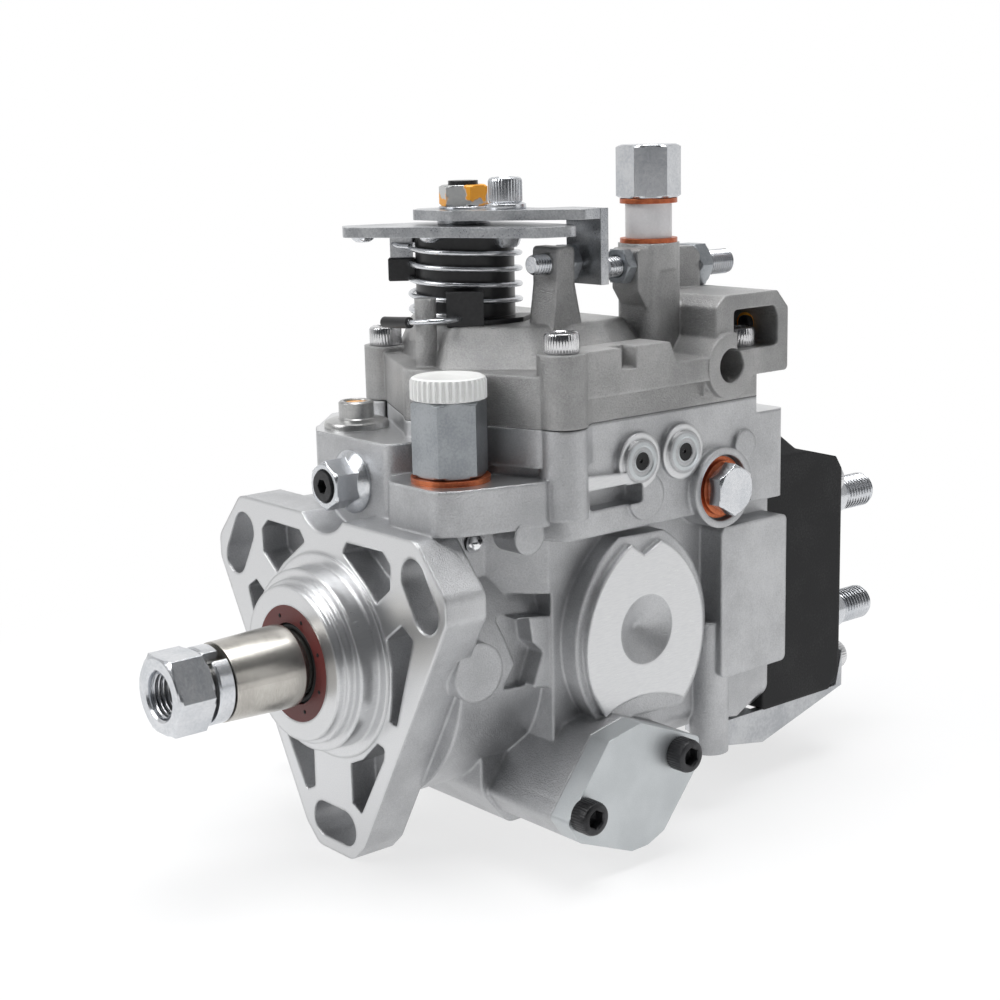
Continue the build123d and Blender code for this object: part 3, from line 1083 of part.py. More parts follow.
# Socket screws of the cover and of the head
with BuildPart() as socket_screws:
    for place_x, place_y, seat in COVER_SCREWS:
        screw(place_x, place_y, seat, 5.1, 6, SCREW_R, seat - JOINT_Z + 10, 5)
    for px, pz in HEAD_SCREWS:
        seat = HEAD_END + BRACKET_T if (px, pz) == HEAD_SCREWS[2] else HEAD_END
        drum(HOUSING_END - 13, seat, TIMING_SCREW_R, px, pz)
        drum(seat, seat + 6, 5.1, px, pz)
        hexagon(station(seat + 6), 5, 3.5, px, pz, mode=Mode.SUBTRACT)
finish(socket_screws, "socket_screws")
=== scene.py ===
"""Looks of a rotary diesel injection pump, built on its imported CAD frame.

Sizes are in millimetres in the frame of the CAD: x to the right side with the inlet, y along the shaft to the rear,
z up. Materials and lamps work in metres.
"""
import logging
import math
from dataclasses import dataclass
from enum import Enum
from functools import reduce
from operator import or_
from typing import Callable, Sequence

import bmesh
import bpy
from mathutils import Matrix, Vector


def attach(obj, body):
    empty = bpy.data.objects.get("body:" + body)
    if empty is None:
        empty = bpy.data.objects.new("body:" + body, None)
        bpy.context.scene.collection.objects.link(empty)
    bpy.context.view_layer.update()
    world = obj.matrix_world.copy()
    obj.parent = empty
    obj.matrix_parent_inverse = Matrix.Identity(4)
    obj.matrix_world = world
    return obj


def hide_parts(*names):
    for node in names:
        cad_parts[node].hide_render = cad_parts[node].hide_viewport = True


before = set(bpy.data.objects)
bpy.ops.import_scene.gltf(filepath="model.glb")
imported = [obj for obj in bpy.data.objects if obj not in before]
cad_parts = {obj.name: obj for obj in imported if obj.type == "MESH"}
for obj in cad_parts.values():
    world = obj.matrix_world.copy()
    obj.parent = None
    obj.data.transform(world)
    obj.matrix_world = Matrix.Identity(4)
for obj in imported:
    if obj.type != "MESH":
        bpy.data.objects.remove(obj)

LOG = logging.getLogger("injection_pump")
MM = 0.001
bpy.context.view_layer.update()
Pair = tuple[float, float]
Point = tuple[float, float, float]
Colour = tuple[float, float, float]
WHITE_LIGHT: Colour = (1.0, 1.0, 1.0)
CRISP = 22.0  # Faces of nuts and bolts that meet at more degrees than this keep a hard edge
THREAD_DEPTH = 0.58  # Depth of a thread as a share of its pitch
THREAD_ROWS = 6  # Rows of faces in one turn of a thread
UNCUT = 1.2  # Beyond a hexagon's corners, where its flats are 1 from the middle


# Shader maths


class Value:
    """A shader socket that takes part in Python arithmetic."""

    def __init__(self, shader: "NodeTree", socket: bpy.types.NodeSocket) -> None:
        """Keep the socket and the tree that it belongs to."""
        self.shader = shader
        self.socket = socket

    def _math(self, operation: str, first: object, second: object) -> "Value":
        """Add one Math node.

        Args:
            operation: Blender's name of the operation.
            first: The upper input, a number or a Value.
            second: The lower input, a number or a Value.

        Returns:
            The result as a Value.
        """
        return self.shader.out("ShaderNodeMath", 0, {"operation": operation}, {0: first, 1: second})

    def __add__(self, other: object) -> "Value":
        """Return self + other."""
        return self._math("ADD", self, other)

    __radd__ = __add__

    def __sub__(self, other: object) -> "Value":
        """Return self - other."""
        return self._math("SUBTRACT", self, other)

    def __rsub__(self, other: object) -> "Value":
        """Return other - self."""
        return self._math("SUBTRACT", other, self)

    def __mul__(self, other: object) -> "Value":
        """Return self * other."""
        return self._math("MULTIPLY", self, other)

    __rmul__ = __mul__

    def __gt__(self, other: object) -> "Value":
        """Return 1 where self is greater than other, else 0."""
        return self._math("GREATER_THAN", self, other)

    def __lt__(self, other: object) -> "Value":
        """Return 1 where self is less than other, else 0."""
        return self._math("LESS_THAN", self, other)

    def __or__(self, other: object) -> "Value":
        """Return the larger of two masks."""
        return self._math("MAXIMUM", self, other)

    def __abs__(self) -> "Value":
        """Return the value without its sign."""
        return self._math("ABSOLUTE", self, 0.0)

    def near(self, target: float, reach: float) -> "Value":
        """Return 1 where self lies within reach of target, else 0."""
        return abs(self - target) < reach

    def ramp(self, low: float, high: float) -> "Value":
        """Return 0 below low, 1 above high and a smooth rise between them."""
        return self.shader.out("ShaderNodeMapRange", 0, {"interpolation_type": "SMOOTHSTEP"},
                               {"Value": self, "From Min": low, "From Max": high})


class NodeTree:
    """A node tree whose nodes are added by expressions."""

    def __init__(self, owner: bpy.types.Material | bpy.types.World, output: str) -> None:
        """Empty the owner's tree and add its output node."""
        owner.use_nodes = True
        self.tree = owner.node_tree
        self.tree.nodes.clear()
        self.output = self.tree.nodes.new(output)

    def node(self, kind: str, settings: dict | None = None, inputs: dict | None = None) -> bpy.types.Node:
        """Add one node.

        Args:
            kind: The node's type name.
            settings: Attributes that are set before the sockets.
            inputs: Values or links by socket name or number.

        Returns:
            The new node.
        """
        made = self.tree.nodes.new(kind)
        for key, value in (settings or {}).items():
            setattr(made, key, value)
        for key, value in (inputs or {}).items():
            self.set(made.inputs[key], value)
        return made

    def set(self, socket: bpy.types.NodeSocket, value: object) -> None:
        """Link a Value to a socket, or set a plain number, colour or vector."""
        if isinstance(value, Value):
            self.tree.links.new(value.socket, socket)
        elif socket.type == "RGBA" and isinstance(value, tuple) and len(value) == 3:
            socket.default_value = (*value, 1.0)
        else:
            socket.default_value = value

    def out(self, kind: str, name: str | int = 0, settings: dict | None = None,
            inputs: dict | None = None) -> Value:
        """Add one node and return one of its outputs."""
        return Value(self, self.node(kind, settings, inputs).outputs[name])

    def mix(self, factor: object, first: object, second: object) -> Value:
        """Blend two colours."""
        return self.out("ShaderNodeMix", 2, {"data_type": "RGBA"}, {0: factor, 6: first, 7: second})

    def finish(self, first: Value, second: Value, factor: Value) -> None:
        """Send a blend of two shaders to the output."""
        blend = self.out("ShaderNodeMixShader", 0, {}, {0: factor, 1: first, 2: second})
        self.set(self.output.inputs[0], blend)


class Shader(NodeTree):
    """A material with one Principled shader."""

    def __init__(self, name: str) -> None:
        """Make the material."""
        self.material = bpy.data.materials.new(name)
        super().__init__(self.material, "ShaderNodeOutputMaterial")
        self.surface = self.node("ShaderNodeBsdfPrincipled")
        self.shine = Value(self, self.surface.outputs[0])
        self.set(self.output.inputs[0], self.shine)

    def place(self) -> Value:
        """Return the point on the surface in the row frame at rest, in metres."""
        return self.out("ShaderNodeTexCoord", "Object")

    def axes(self, vector: Value) -> tuple[Value, Value, Value]:
        """Split a vector into its three numbers."""
        node = self.node("ShaderNodeSeparateXYZ", {}, {0: vector})
        east, north, up = (Value(self, socket) for socket in node.outputs)
        return east, north, up

    def noise(self, scale: float, detail: float = 3.0, stretch: Point = (1, 1, 1), rough: float = 0.5) -> Value:
        """Return noise from 0 to 1.

        Args:
            scale: Features per metre.
            detail: Number of finer layers.
            stretch: Scale along each axis, for brushed marks.
            rough: How strong the finer layers are.

        Returns:
            The noise as a Value.
        """
        point = self.out("ShaderNodeMapping", 0, {}, {"Vector": self.place(), "Scale": stretch})
        return self.out("ShaderNodeTexNoise", 0, {},
                        {"Vector": point, "Scale": scale, "Detail": detail, "Roughness": rough})

    def rounded(self, radius: float) -> Value:
        """Return the normal with edges rounded by the given radius in metres."""
        return self.out("ShaderNodeBevel", 0, {"samples": 6}, {"Radius": radius})

    def edges(self, radius: float) -> Value:
        """Return a mask that is 1 on edges and 0 on flat faces."""
        true = self.out("ShaderNodeNewGeometry", "Normal")
        lean = self.out("ShaderNodeVectorMath", "Value", {"operation": "DOT_PRODUCT"},
                        {0: self.rounded(radius), 1: true})
        return (1.0 - lean).ramp(0.005, 0.12)

    def bump(self, height: Value, depth: float, edge: float) -> Value:
        """Return a normal bumped to a depth, over edges rounded to a radius, both in metres."""
        return self.out("ShaderNodeBump", 0, {}, {"Height": height, "Strength": 1.0, "Distance": depth,
                                                  "Normal": self.rounded(edge)})

    def dress(self, **sockets: object) -> bpy.types.Material:
        """Set the sockets of the Principled shader by name, with underscores for spaces."""
        for key, value in sockets.items():
            self.set(self.surface.inputs[key.replace("_", " ")], value)
        return self.material


# Finishes


@dataclass(frozen=True)
class MetalFinish:
    """A worked metal surface with fine marks.

    Attributes:
        name: Name of the material.
        light: Colour on raised places, and on the edges, which are painted bright as rubbed metal and as a painted
            highlight.
        dark: Colour of the dull patches.
        roughness: Mean roughness.
        spread: How far the roughness wanders.
        metallic: Share of metal.
        grain: Marks per metre.
        stretch: Scale of the marks along each axis.
        depth: Depth of the marks in metres.
        edge: Radius of the softened edges in metres.
        edge_highlight_and_wear: How strongly the edges are painted bright, as rubbed metal and as a painted highlight.
    """

    name: str
    light: Colour
    dark: Colour
    roughness: float = 0.28
    spread: float = 0.12
    metallic: float = 0.9
    grain: float = 900.0
    stretch: Point = (1, 1, 1)
    depth: float = 0.00002
    edge: float = 0.0003
    edge_highlight_and_wear: float = 0.25

    def build(self) -> bpy.types.Material:
        """Build the material."""
        shader = Shader(self.name)
        cloud = shader.noise(90.0, 4.0)
        marks = shader.noise(self.grain, 4.0, self.stretch, 0.6)
        tone = shader.mix((cloud * 0.6 + marks * 0.4).ramp(0.35, 0.65), self.dark, self.light)
        # Edges are blended towards the light colour, as rubbed metal and as a painted highlight.
        rubbed_and_highlit = shader.mix(shader.edges(self.edge * 2) * self.edge_highlight_and_wear, tone, self.light)
        rough = self.roughness + (cloud - 0.5) * self.spread + (marks - 0.5) * self.spread
        return shader.dress(Base_Color=rubbed_and_highlit, Metallic=self.metallic, Roughness=rough,
                            Normal=shader.bump(marks, self.depth, self.edge))


@dataclass(frozen=True)
class CastFinish:
    """Sand-cast light alloy with machined faces.

    Attributes:
        name: Name of the material.
        light: Colour of bright skin.
        dark: Colour of dull skin.
        machined: Colour of cut faces, which is also painted on the edges as rubbed metal and as a painted highlight.
        flats: Cut planes as axis number, place in metres and reach in metres.
        pilot: Whether the turned pilot in front of the flange is part of the piece.
        grain: Strength of the sand grain.
        roughness: Mean roughness of the skin.
        cut_roughness: Mean roughness of cut faces.
        square: How squarely a cut face looks along its axis, where 1 is exactly.
        pilot_start: Where the pilot starts along the shaft in metres.
        edge_highlight_and_wear: How strongly the edges are painted bright, as rubbed metal and as a painted highlight.
        highlit_rubbed_edge: Width of the edges painted bright as rubbed metal and as a painted highlight, in metres.
        depth: Depth of the relief in metres.
        edge: Radius of the softened edges in metres.
    """

    name: str
    light: Colour
    dark: Colour
    machined: Colour
    flats: tuple[tuple[int, float, float], ...] = ()
    pilot: bool = False
    grain: float = 0.9
    roughness: float = 0.42
    cut_roughness: float = 0.30
    square: float = 0.97
    pilot_start: float = -0.0003
    edge_highlight_and_wear: float = 0.15
    highlit_rubbed_edge: float = 0.0013
    depth: float = 0.00020
    edge: float = 0.0014

    def build(self) -> bpy.types.Material:
        """Build the material."""
        shader = Shader(self.name)
        axes = shader.axes(shader.place())
        cloud = shader.noise(38.0, 5.0, rough=0.6)
        grit = shader.noise(1900.0, 3.0, rough=0.7)
        skin = shader.mix((cloud * 0.65 + grit * 0.35).ramp(0.34, 0.68), self.dark, self.light)
        # The edges are blended towards the machined colour, as rubbed metal and as a painted highlight.
        skin = shader.mix(shader.edges(self.highlit_rubbed_edge) * self.edge_highlight_and_wear, skin, self.machined)
        height = grit * self.grain + cloud * 0.3
        rough = self.roughness + (cloud - 0.5) * 0.25 + (grit - 0.5) * 0.2
        cut = self.cut(shader, axes)
        if cut is None:
            return shader.dress(Base_Color=skin, Metallic=0.92, Roughness=rough,
                                Normal=shader.bump(height, self.depth, self.edge))
        tool = shader.noise(2600.0, 2.0, (1.0, 0.12, 1.0))
        bright = shader.mix(tool.ramp(0.3, 0.7), self.machined, self.light)
        rough = rough * (1.0 - cut) + cut * (self.cut_roughness + (tool - 0.5) * 0.12)
        relief = height * (1.0 - cut) + cut * tool * 0.08
        return shader.dress(Base_Color=shader.mix(cut, skin, bright), Metallic=0.94, Roughness=rough,
                            Normal=shader.bump(relief, self.depth, self.edge))

    def cut(self, shader: Shader, axes: tuple[Value, Value, Value]) -> Value | None:
        """Return the mask of the cut faces.

        Args:
            shader: The material.
            axes: The three numbers of the place on the surface.

        Returns:
            The mask, or None where the piece has no cut face.
        """
        facing = shader.axes(shader.out("ShaderNodeNewGeometry", "Normal"))
        masks = [axes[axis].near(place, reach) * (abs(facing[axis]) > self.square) for axis, place, reach in self.flats]
        if self.pilot:
            masks.append(axes[1] < self.pilot_start)
        return reduce(or_, masks) if masks else None


@dataclass(frozen=True)
class MouldedFinish:
    """Plastic, rubber or a thick coating.

    Attributes:
        name: Name of the material.
        base: Main colour.
        tint_and_edge_highlight: Colour of the patches, and of the edges, which are painted lighter as rubbing and as a
            painted highlight.
        roughness: Mean roughness.
        spread: How far the roughness wanders.
        grain: Texture features per metre.
        depth: Depth of the texture in metres.
        edge: Radius of the softened edges in metres.
        edge_highlight_and_wear: How strongly the edges are painted lighter, as rubbing and as a painted highlight.
        coat: Weight of the clear layer.
        gloss: Strength of the plain reflection.
    """

    name: str
    base: Colour
    tint_and_edge_highlight: Colour
    roughness: float = 0.45
    spread: float = 0.1
    grain: float = 1400.0
    depth: float = 0.00004
    edge: float = 0.0005
    edge_highlight_and_wear: float = 0.3
    coat: float = 0.0
    gloss: float = 0.5

    def build(self) -> bpy.types.Material:
        """Build the material."""
        shader = Shader(self.name)
        cloud = shader.noise(60.0, 5.0)
        fine = shader.noise(self.grain, 3.0)
        colour = shader.mix((cloud * 0.5 + fine * 0.5).ramp(0.45, 0.75) * 0.5, self.base, self.tint_and_edge_highlight)
        # The edges are blended towards the lighter colour, as rubbing and as a painted highlight.
        colour = shader.mix(shader.edges(self.edge * 2) * self.edge_highlight_and_wear, colour, self.tint_and_edge_highlight)
        rough = self.roughness + (cloud - 0.5) * self.spread + (fine - 0.5) * self.spread
        return shader.dress(Base_Color=colour, Metallic=0.0, Roughness=rough, Coat_Weight=self.coat,
                            Specular_IOR_Level=self.gloss,
                            Normal=shader.bump(fine, self.depth, self.edge))


@dataclass(frozen=True)
class PaintedFinish:
    """Zinc plate with a dab of sealing paint.

    Attributes:
        name: Name of the material.
        metal: Colour of the plate.
        paint: Colour of the dab.
        dull: Colour of the dull patches.
        cover: Share of the surface that stays metal.
        depth: Thickness of the dab in metres.
        edge: Radius of the softened edges in metres.
    """

    name: str
    metal: Colour
    paint: Colour
    dull: Colour = (0.45, 0.46, 0.47)
    cover: float = 0.47
    depth: float = 0.00012
    edge: float = 0.0003

    def build(self) -> bpy.types.Material:
        """Build the material."""
        shader = Shader(self.name)
        splash = shader.noise(150.0, 2.0).ramp(self.cover, self.cover + 0.05)
        fine = shader.noise(1200.0, 3.0)
        tone = shader.mix(fine, self.metal, self.dull)
        return shader.dress(Base_Color=shader.mix(splash, tone, self.paint), Metallic=0.9 * (1.0 - splash),
                            Roughness=0.3 + splash * 0.15 + (fine - 0.5) * 0.1,
                            Normal=shader.bump(splash + fine * 0.1, self.depth, self.edge))


class Finish(Enum):
    """Every finish of the pump."""

    HOUSING = CastFinish("Cast_Housing", (0.64, 0.645, 0.655), (0.42, 0.425, 0.435), (0.68, 0.685, 0.69),
                         ((1, 0.0, 0.0006), (0, 0.0585, 0.0004), (2, 0.055, 0.0003), (2, 0.064, 0.0003),
                          (0, 0.0625, 0.0004), (1, 0.1385, 0.0004)), True)
    COVER = CastFinish("Cast_Cover", (0.52, 0.518, 0.515), (0.30, 0.30, 0.30), (0.60, 0.60, 0.60),
                       grain=1.7)
    ZINC = MetalFinish("Zinc_Plate", (0.72, 0.73, 0.75), (0.58, 0.60, 0.63), 0.24, 0.06, 0.95, 1100.0,
                       depth=0.000004)
    ZINC_ROUGH = MetalFinish("Zinc_Plate_Dull", (0.42, 0.44, 0.46), (0.28, 0.30, 0.32), 0.36, 0.14, 0.9, 1500.0,
                             depth=0.00002)
    GROUND = MetalFinish("Ground_Steel", (0.56, 0.54, 0.50), (0.42, 0.40, 0.37), 0.24, 0.08, 0.95, 500.0,
                         (1.0, 8.0, 1.0), 0.000004)
    LID = MetalFinish("Milled_Lid", (0.60, 0.625, 0.635), (0.52, 0.545, 0.555), 0.42, 0.06, 0.75, 2600.0,
                      depth=0.000008)
    COPPER = MetalFinish("Soft_Copper", (0.62, 0.19, 0.08), (0.38, 0.09, 0.04), 0.36, 0.12, 0.8, 900.0,
                         depth=0.000008)
    BRONZE = MetalFinish("Sintered_Bronze", (0.62, 0.46, 0.24), (0.42, 0.30, 0.15), 0.42, 0.12, 0.85, 1500.0)
    BLACK_STEEL = MetalFinish("Black_Oxide", (0.045, 0.045, 0.048), (0.012, 0.012, 0.013), 0.34, 0.12, 0.5, 900.0)
    HEAD = MouldedFinish("Black_Head", (0.012, 0.012, 0.013), (0.05, 0.05, 0.05), 0.55, 0.1, 1500.0, 0.00004,
                         0.0014, 0.12, gloss=0.25)
    BUSH = MouldedFinish("Black_Bush", (0.012, 0.012, 0.013), (0.035, 0.035, 0.037), 0.35, 0.1, 900.0, 0.00002)
    SEAL = MouldedFinish("Seal_Rubber", (0.11, 0.018, 0.016), (0.17, 0.035, 0.03), 0.5, 0.12, 1200.0, 0.00002)
    DAMPER = MouldedFinish("Damper_Rubber", (0.02, 0.02, 0.02), (0.05, 0.05, 0.05), 0.7)
    WHITE = MouldedFinish("White_Plastic", (0.80, 0.80, 0.78), (0.70, 0.70, 0.69), 0.32, 0.06, 700.0, 0.00001,
                          0.0004, 0.2, 0.15)
    GASKET = MouldedFinish("Gasket_Sheet", (0.16, 0.16, 0.16), (0.24, 0.24, 0.24), 0.8)
    MARK = MouldedFinish("Orange_Paint", (0.86, 0.36, 0.02), (0.92, 0.46, 0.05), 0.4, 0.1, 500.0, 0.00008,
                         0.0003, 0.2, 0.3)
    # Near-black stands for the shade inside holes and hollows: painted shade.
    SHADE_HOLLOW = MouldedFinish("Painted_Shade_Bore", (0.02, 0.02, 0.02), (0.03, 0.03, 0.03), 0.8)
    CHROME = MetalFinish("Bright_Screws", (0.70, 0.70, 0.71), (0.58, 0.58, 0.59), 0.16, 0.05, 1.0, 900.0,
                         depth=0.000003)
    BALL = MetalFinish("Polished_Ball", (0.85, 0.85, 0.86), (0.75, 0.75, 0.76), 0.12, 0.05, 1.0, 400.0)
    LEVER = MetalFinish("Lever_Plate", (0.58, 0.59, 0.60), (0.32, 0.33, 0.35), 0.30, 0.12, 0.92, 1700.0,
                        depth=0.000015)
    BRACKET = MetalFinish("Bracket_Plate", (0.58, 0.59, 0.60), (0.40, 0.41, 0.43), 0.38, 0.16, 0.85, 1100.0)
    VALVE = MetalFinish("Valve_Steel", (0.56, 0.56, 0.55), (0.40, 0.40, 0.40), 0.32, 0.1, 0.92, 1100.0,
                        depth=0.000008)
    SPACER = MetalFinish("Pale_Spacer", (0.76, 0.75, 0.75), (0.68, 0.67, 0.67), 0.45, 0.06, 0.25, 1300.0,
                         depth=0.000006)
    PAINTED = PaintedFinish("Painted_Nut", (0.60, 0.60, 0.58), (0.86, 0.36, 0.02))


class Palette:
    """Builds each finish once."""

    def __init__(self) -> None:
        """Start with no materials."""
        self._made: dict[Finish, bpy.types.Material] = {}

    def get(self, finish: Finish) -> bpy.types.Material:
        """Return the material of a finish."""
        if finish not in self._made:
            self._made[finish] = finish.value.build()
        return self._made[finish]


# Mesh making


class MeshMaker:
    """Gathers points and faces in millimetres."""

    def __init__(self, name: str) -> None:
        """Start an empty mesh."""
        self.name = name
        self.points: list[Vector] = []
        self.faces: list[tuple[int, ...]] = []
        self.slots: list[int] = []
        self.slot = 0

    def grid(self, rows: Sequence[Sequence[Vector]], caps: bool = True) -> None:
        """Join rings of points into a skin.

        Args:
            rows: Rings of equal length.
            caps: Whether the first and last ring are filled.
        """
        start = len(self.points)
        width = len(rows[0])
        for row in rows:
            self.points.extend(row)
        for level in range(len(rows) - 1):
            for place in range(width):
                here = start + level * width + place
                there = start + level * width + (place + 1) % width
                self.faces.append((here, there, there + width, here + width))
                self.slots.append(self.slot)
        if caps:
            self.faces.append(tuple(range(start + width - 1, start - 1, -1)))
            top = start + (len(rows) - 1) * width
            self.faces.append(tuple(range(top, top + width)))
            self.slots.extend((self.slot, self.slot))

    def shown(self, materials: Sequence[bpy.types.Material]) -> bpy.types.Object:
        """Return the gathered faces as an object in the scene, with one material per slot."""
        mesh = bpy.data.meshes.new(self.name)
        mesh.from_pydata([tuple(point * MM) for point in self.points], [], self.faces)
        for material in materials:
            mesh.materials.append(material)
        mesh.polygons.foreach_set("material_index", self.slots)
        made = bpy.data.objects.new(self.name, mesh)
        bpy.context.scene.collection.objects.link(made)
        return made


@dataclass(frozen=True)
class Axle:
    """A line in space on which round pieces are built, in millimetres."""

    origin: Point
    way: Point

    def frame(self) -> tuple[Vector, Vector, Vector]:
        """Return the two cross directions and the direction along the line."""
        along = Vector(self.way).normalized()
        aside = Vector((0, 0, 1)) if abs(along.z) < 0.9 else Vector((1, 0, 0))
        first = aside.cross(along).normalized()
        return first, along.cross(first), along

    def at(self, distance: float, radius: float, angle: float) -> Vector:
        """Return the point at a distance, a radius and an angle in radians."""
        first, second, along = self.frame()
        return (Vector(self.origin) + along * distance + first * (radius * math.cos(angle))
                + second * (radius * math.sin(angle)))

    def ring(self, distance: float, radius: float, sides: int = 48,
             shape: Callable[[float], float] | None = None, turn: float = 0.0) -> list[Vector]:
        """Return a ring of points, whose radius a shape function may change with the angle."""
        made = []
        for step in range(sides):
            angle = math.tau * step / sides
            size = radius * (shape(angle) if shape else 1.0)
            made.append(self.at(distance, size, angle + turn))
        return made


def upright(x: float, y: float, z: float = 0.0) -> Axle:
    """Return the upward line through a point."""
    return Axle((x, y, z), (0, 0, 1))


def lengthwise(x: float = 0.0, z: float = 0.0, y: float = 0.0) -> Axle:
    """Return the line through a point that runs along the shaft, to the rear."""
    return Axle((x, y, z), (0, 1, 0))


def hexagon(angle: float) -> float:
    """Return the radius at an angle of a hexagon whose flats lie at 1 from its middle."""
    return 1.0 / math.cos((angle + math.pi / 6) % (math.pi / 3) - math.pi / 6)


def turned(maker: MeshMaker, axle: Axle, profile: Sequence[tuple], sides: int = 48, caps: bool = True) -> None:
    """Add a turned piece.

    Args:
        maker: Mesh that takes the piece.
        axle: Line of the piece.
        profile: Distance and radius of each ring, and a shape function where the ring is not round.
        sides: Number of points on a ring.
        caps: Whether the ends are filled.
    """
    maker.grid([axle.ring(distance, radius, sides, *shape) for distance, radius, *shape in profile], caps=caps)


def hexagon_bar(maker: MeshMaker, axle: Axle, low: float, high: float, across: float, turn: float = 0.0,
                hole: float = 0.0) -> None:
    """Add a hexagon bar whose ends are chamfered to a cone, as real nuts are.

    Args:
        maker: Mesh that takes the bar.
        axle: Line of the bar.
        low: Where the bar starts.
        high: Where the bar ends.
        across: Width across the flats.
        turn: Angle of the first flat in degrees.
        hole: Radius of the bore, or 0 for none.
    """
    flat = across / 2
    sides = 72

    def cut(distance: float, limit: float) -> list[Vector]:
        """Return a ring of the hexagon limited to a circle."""
        return axle.ring(distance, flat, sides, lambda a: min(hexagon(a), limit / flat), math.radians(turn))

    cone = (flat / math.cos(math.pi / 6) - flat) * 0.6
    support = cone + 0.12
    rows = [cut(low, flat * 0.97), cut(low + cone * 0.35, flat * 1.04),
            *(cut(distance, flat * UNCUT) for distance in (low + cone, low + support, high - support, high - cone)),
            cut(high - cone * 0.35, flat * 1.04), cut(high, flat * 0.97)]
    if hole:
        inner = [axle.ring(high, hole + 0.6, sides), axle.ring(high - 0.6, hole, sides),
                 axle.ring(low + 0.6, hole, sides), axle.ring(low, hole + 0.6, sides), rows[0]]
        maker.grid(rows + inner, caps=False)
    else:
        maker.grid(rows)


def threaded(maker: MeshMaker, axle: Axle, low: float, high: float, radius: float, pitch: float,
             hollow: float = 0.0, inner: bool = False) -> None:
    """Add a real helical thread with rounded crests.

    Args:
        maker: Mesh that takes the thread.
        axle: Line of the thread.
        low: Where the thread starts.
        high: Where the thread ends.
        radius: Crest radius of a screw, or root radius of a nut.
        pitch: Rise of one turn.
        hollow: Radius of a bore in the upper end, or 0 for none.
        inner: Whether the thread is cut inside a hole.
    """
    sides = 36
    depth = pitch * THREAD_DEPTH
    steps = int((high - low) / pitch * THREAD_ROWS)
    rows = []
    for level in range(steps + 1):
        distance = low + (high - low) * level / steps
        row = []
        for step in range(sides):
            angle = math.tau * step / sides
            phase = (distance / pitch - step / sides) % 1.0
            crest = min(1.0, (0.5 + 0.5 * math.cos(math.tau * phase)) * 1.25)
            edge = min(1.0, (distance - low) / pitch + 0.25, (high - distance) / (pitch * 0.7) + 0.1)
            size = radius - depth * (1.0 - crest * edge)
            row.append(axle.at(distance, size, angle))
        rows.append(row)
    if inner:
        maker.grid(rows, caps=False)
        return
    if hollow:
        for distance, size in ((high, radius - depth - 0.3), (high, hollow + 0.4), (high - 0.5, hollow),
                               (high - 9.0, hollow)):
            rows.append(axle.ring(distance, size, sides))
    maker.grid(rows)


def wire(maker: MeshMaker, path: Sequence[Vector], radius: float, sides: int = 12) -> None:
    """Add a round wire along a path of points."""
    rows = []
    side = None
    for place, point in enumerate(path):
        before = path[max(place - 1, 0)]
        after = path[min(place + 1, len(path) - 1)]
        along = (after - before).normalized()
        if side is None:
            side = along.orthogonal().normalized()
        side = (side - along * side.dot(along)).normalized()
        other = along.cross(side)
        rows.append([point + side * (radius * math.cos(math.tau * k / sides))
                     + other * (radius * math.sin(math.tau * k / sides)) for k in range(sides)])
    maker.grid(rows)


def cap_screw(maker: MeshMaker, axle: Axle, depth: float, radius: float = 5.1, height: float = 6.0,
              shank: float = 3.0, key: float = 5.0) -> None:
    """Add a socket screw with a knurled head, whose seat is at the start of its line.

    Args:
        maker: Mesh that takes the screw.
        axle: Line of the screw, from its seat outward.
        depth: Length of the shank below the seat.
        radius: Radius of the head.
        height: Height of the head.
        shank: Radius of the shank.
        key: Width of the socket across its flats.
    """

    def knurl(angle: float) -> float:
        """Return the knurled outline of the head."""
        return 1.0 - 0.035 * (0.5 - 0.5 * math.cos(36 * angle)) ** 0.6

    turned(maker, axle, [(-depth, shank - 0.5), (0.5 - depth, shank), (0, shank), (0, radius - 0.45),
                         (0.4, radius - 0.05, knurl), (height - 1.1, radius - 0.05, knurl),
                         (height - 0.35, radius - 0.4), (height, radius - 1.0), (height, key * 0.6),
                         (height - 0.35, key / 2, hexagon), (height * 0.45, key / 2, hexagon),
                         (height * 0.38, key * 0.1)], 144)


# Sub-assemblies


@dataclass
class Assembly:
    """A group of pieces that are dressed or built together.

    Attributes:
        palette: Finishes of the pump.
    """

    palette: Palette

    def dress(self, finish: Finish, *names: str) -> None:
        """Give CAD nodes their finish.

        Args:
            finish: The finish.
            names: Names of the nodes.
        """
        for name in names:
            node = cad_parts[name]
            node.data.materials.clear()
            node.data.materials.append(self.palette.get(finish))
            LOG.info("%s: dressed in %s", name, finish.value.name)

    def add(self, maker: MeshMaker, *finishes: Finish, body: str = "housing", smooth: float = 35.0,
            replaces: Sequence[str] = ()) -> None:
        """Turn a mesh into a piece of the pump.

        Args:
            maker: The mesh.
            finishes: One finish per slot.
            body: Name of the CAD body that it rides.
            smooth: Angle in degrees below which faces shade smoothly.
            replaces: CAD nodes that this piece stands for.
        """
        made = maker.shown([self.palette.get(finish) for finish in finishes])
        mesh = made.data
        work = bmesh.new()
        work.from_mesh(mesh)
        bmesh.ops.remove_doubles(work, verts=work.verts, dist=1e-7)
        bmesh.ops.recalc_face_normals(work, faces=work.faces)
        work.to_mesh(mesh)
        work.free()
        mesh.shade_smooth()
        mesh.set_sharp_from_angle(angle=math.radians(smooth))
        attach(made, body)
        if replaces:
            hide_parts(*replaces)
        LOG.info("%s: %d faces on %s", maker.name, len(mesh.polygons), body)


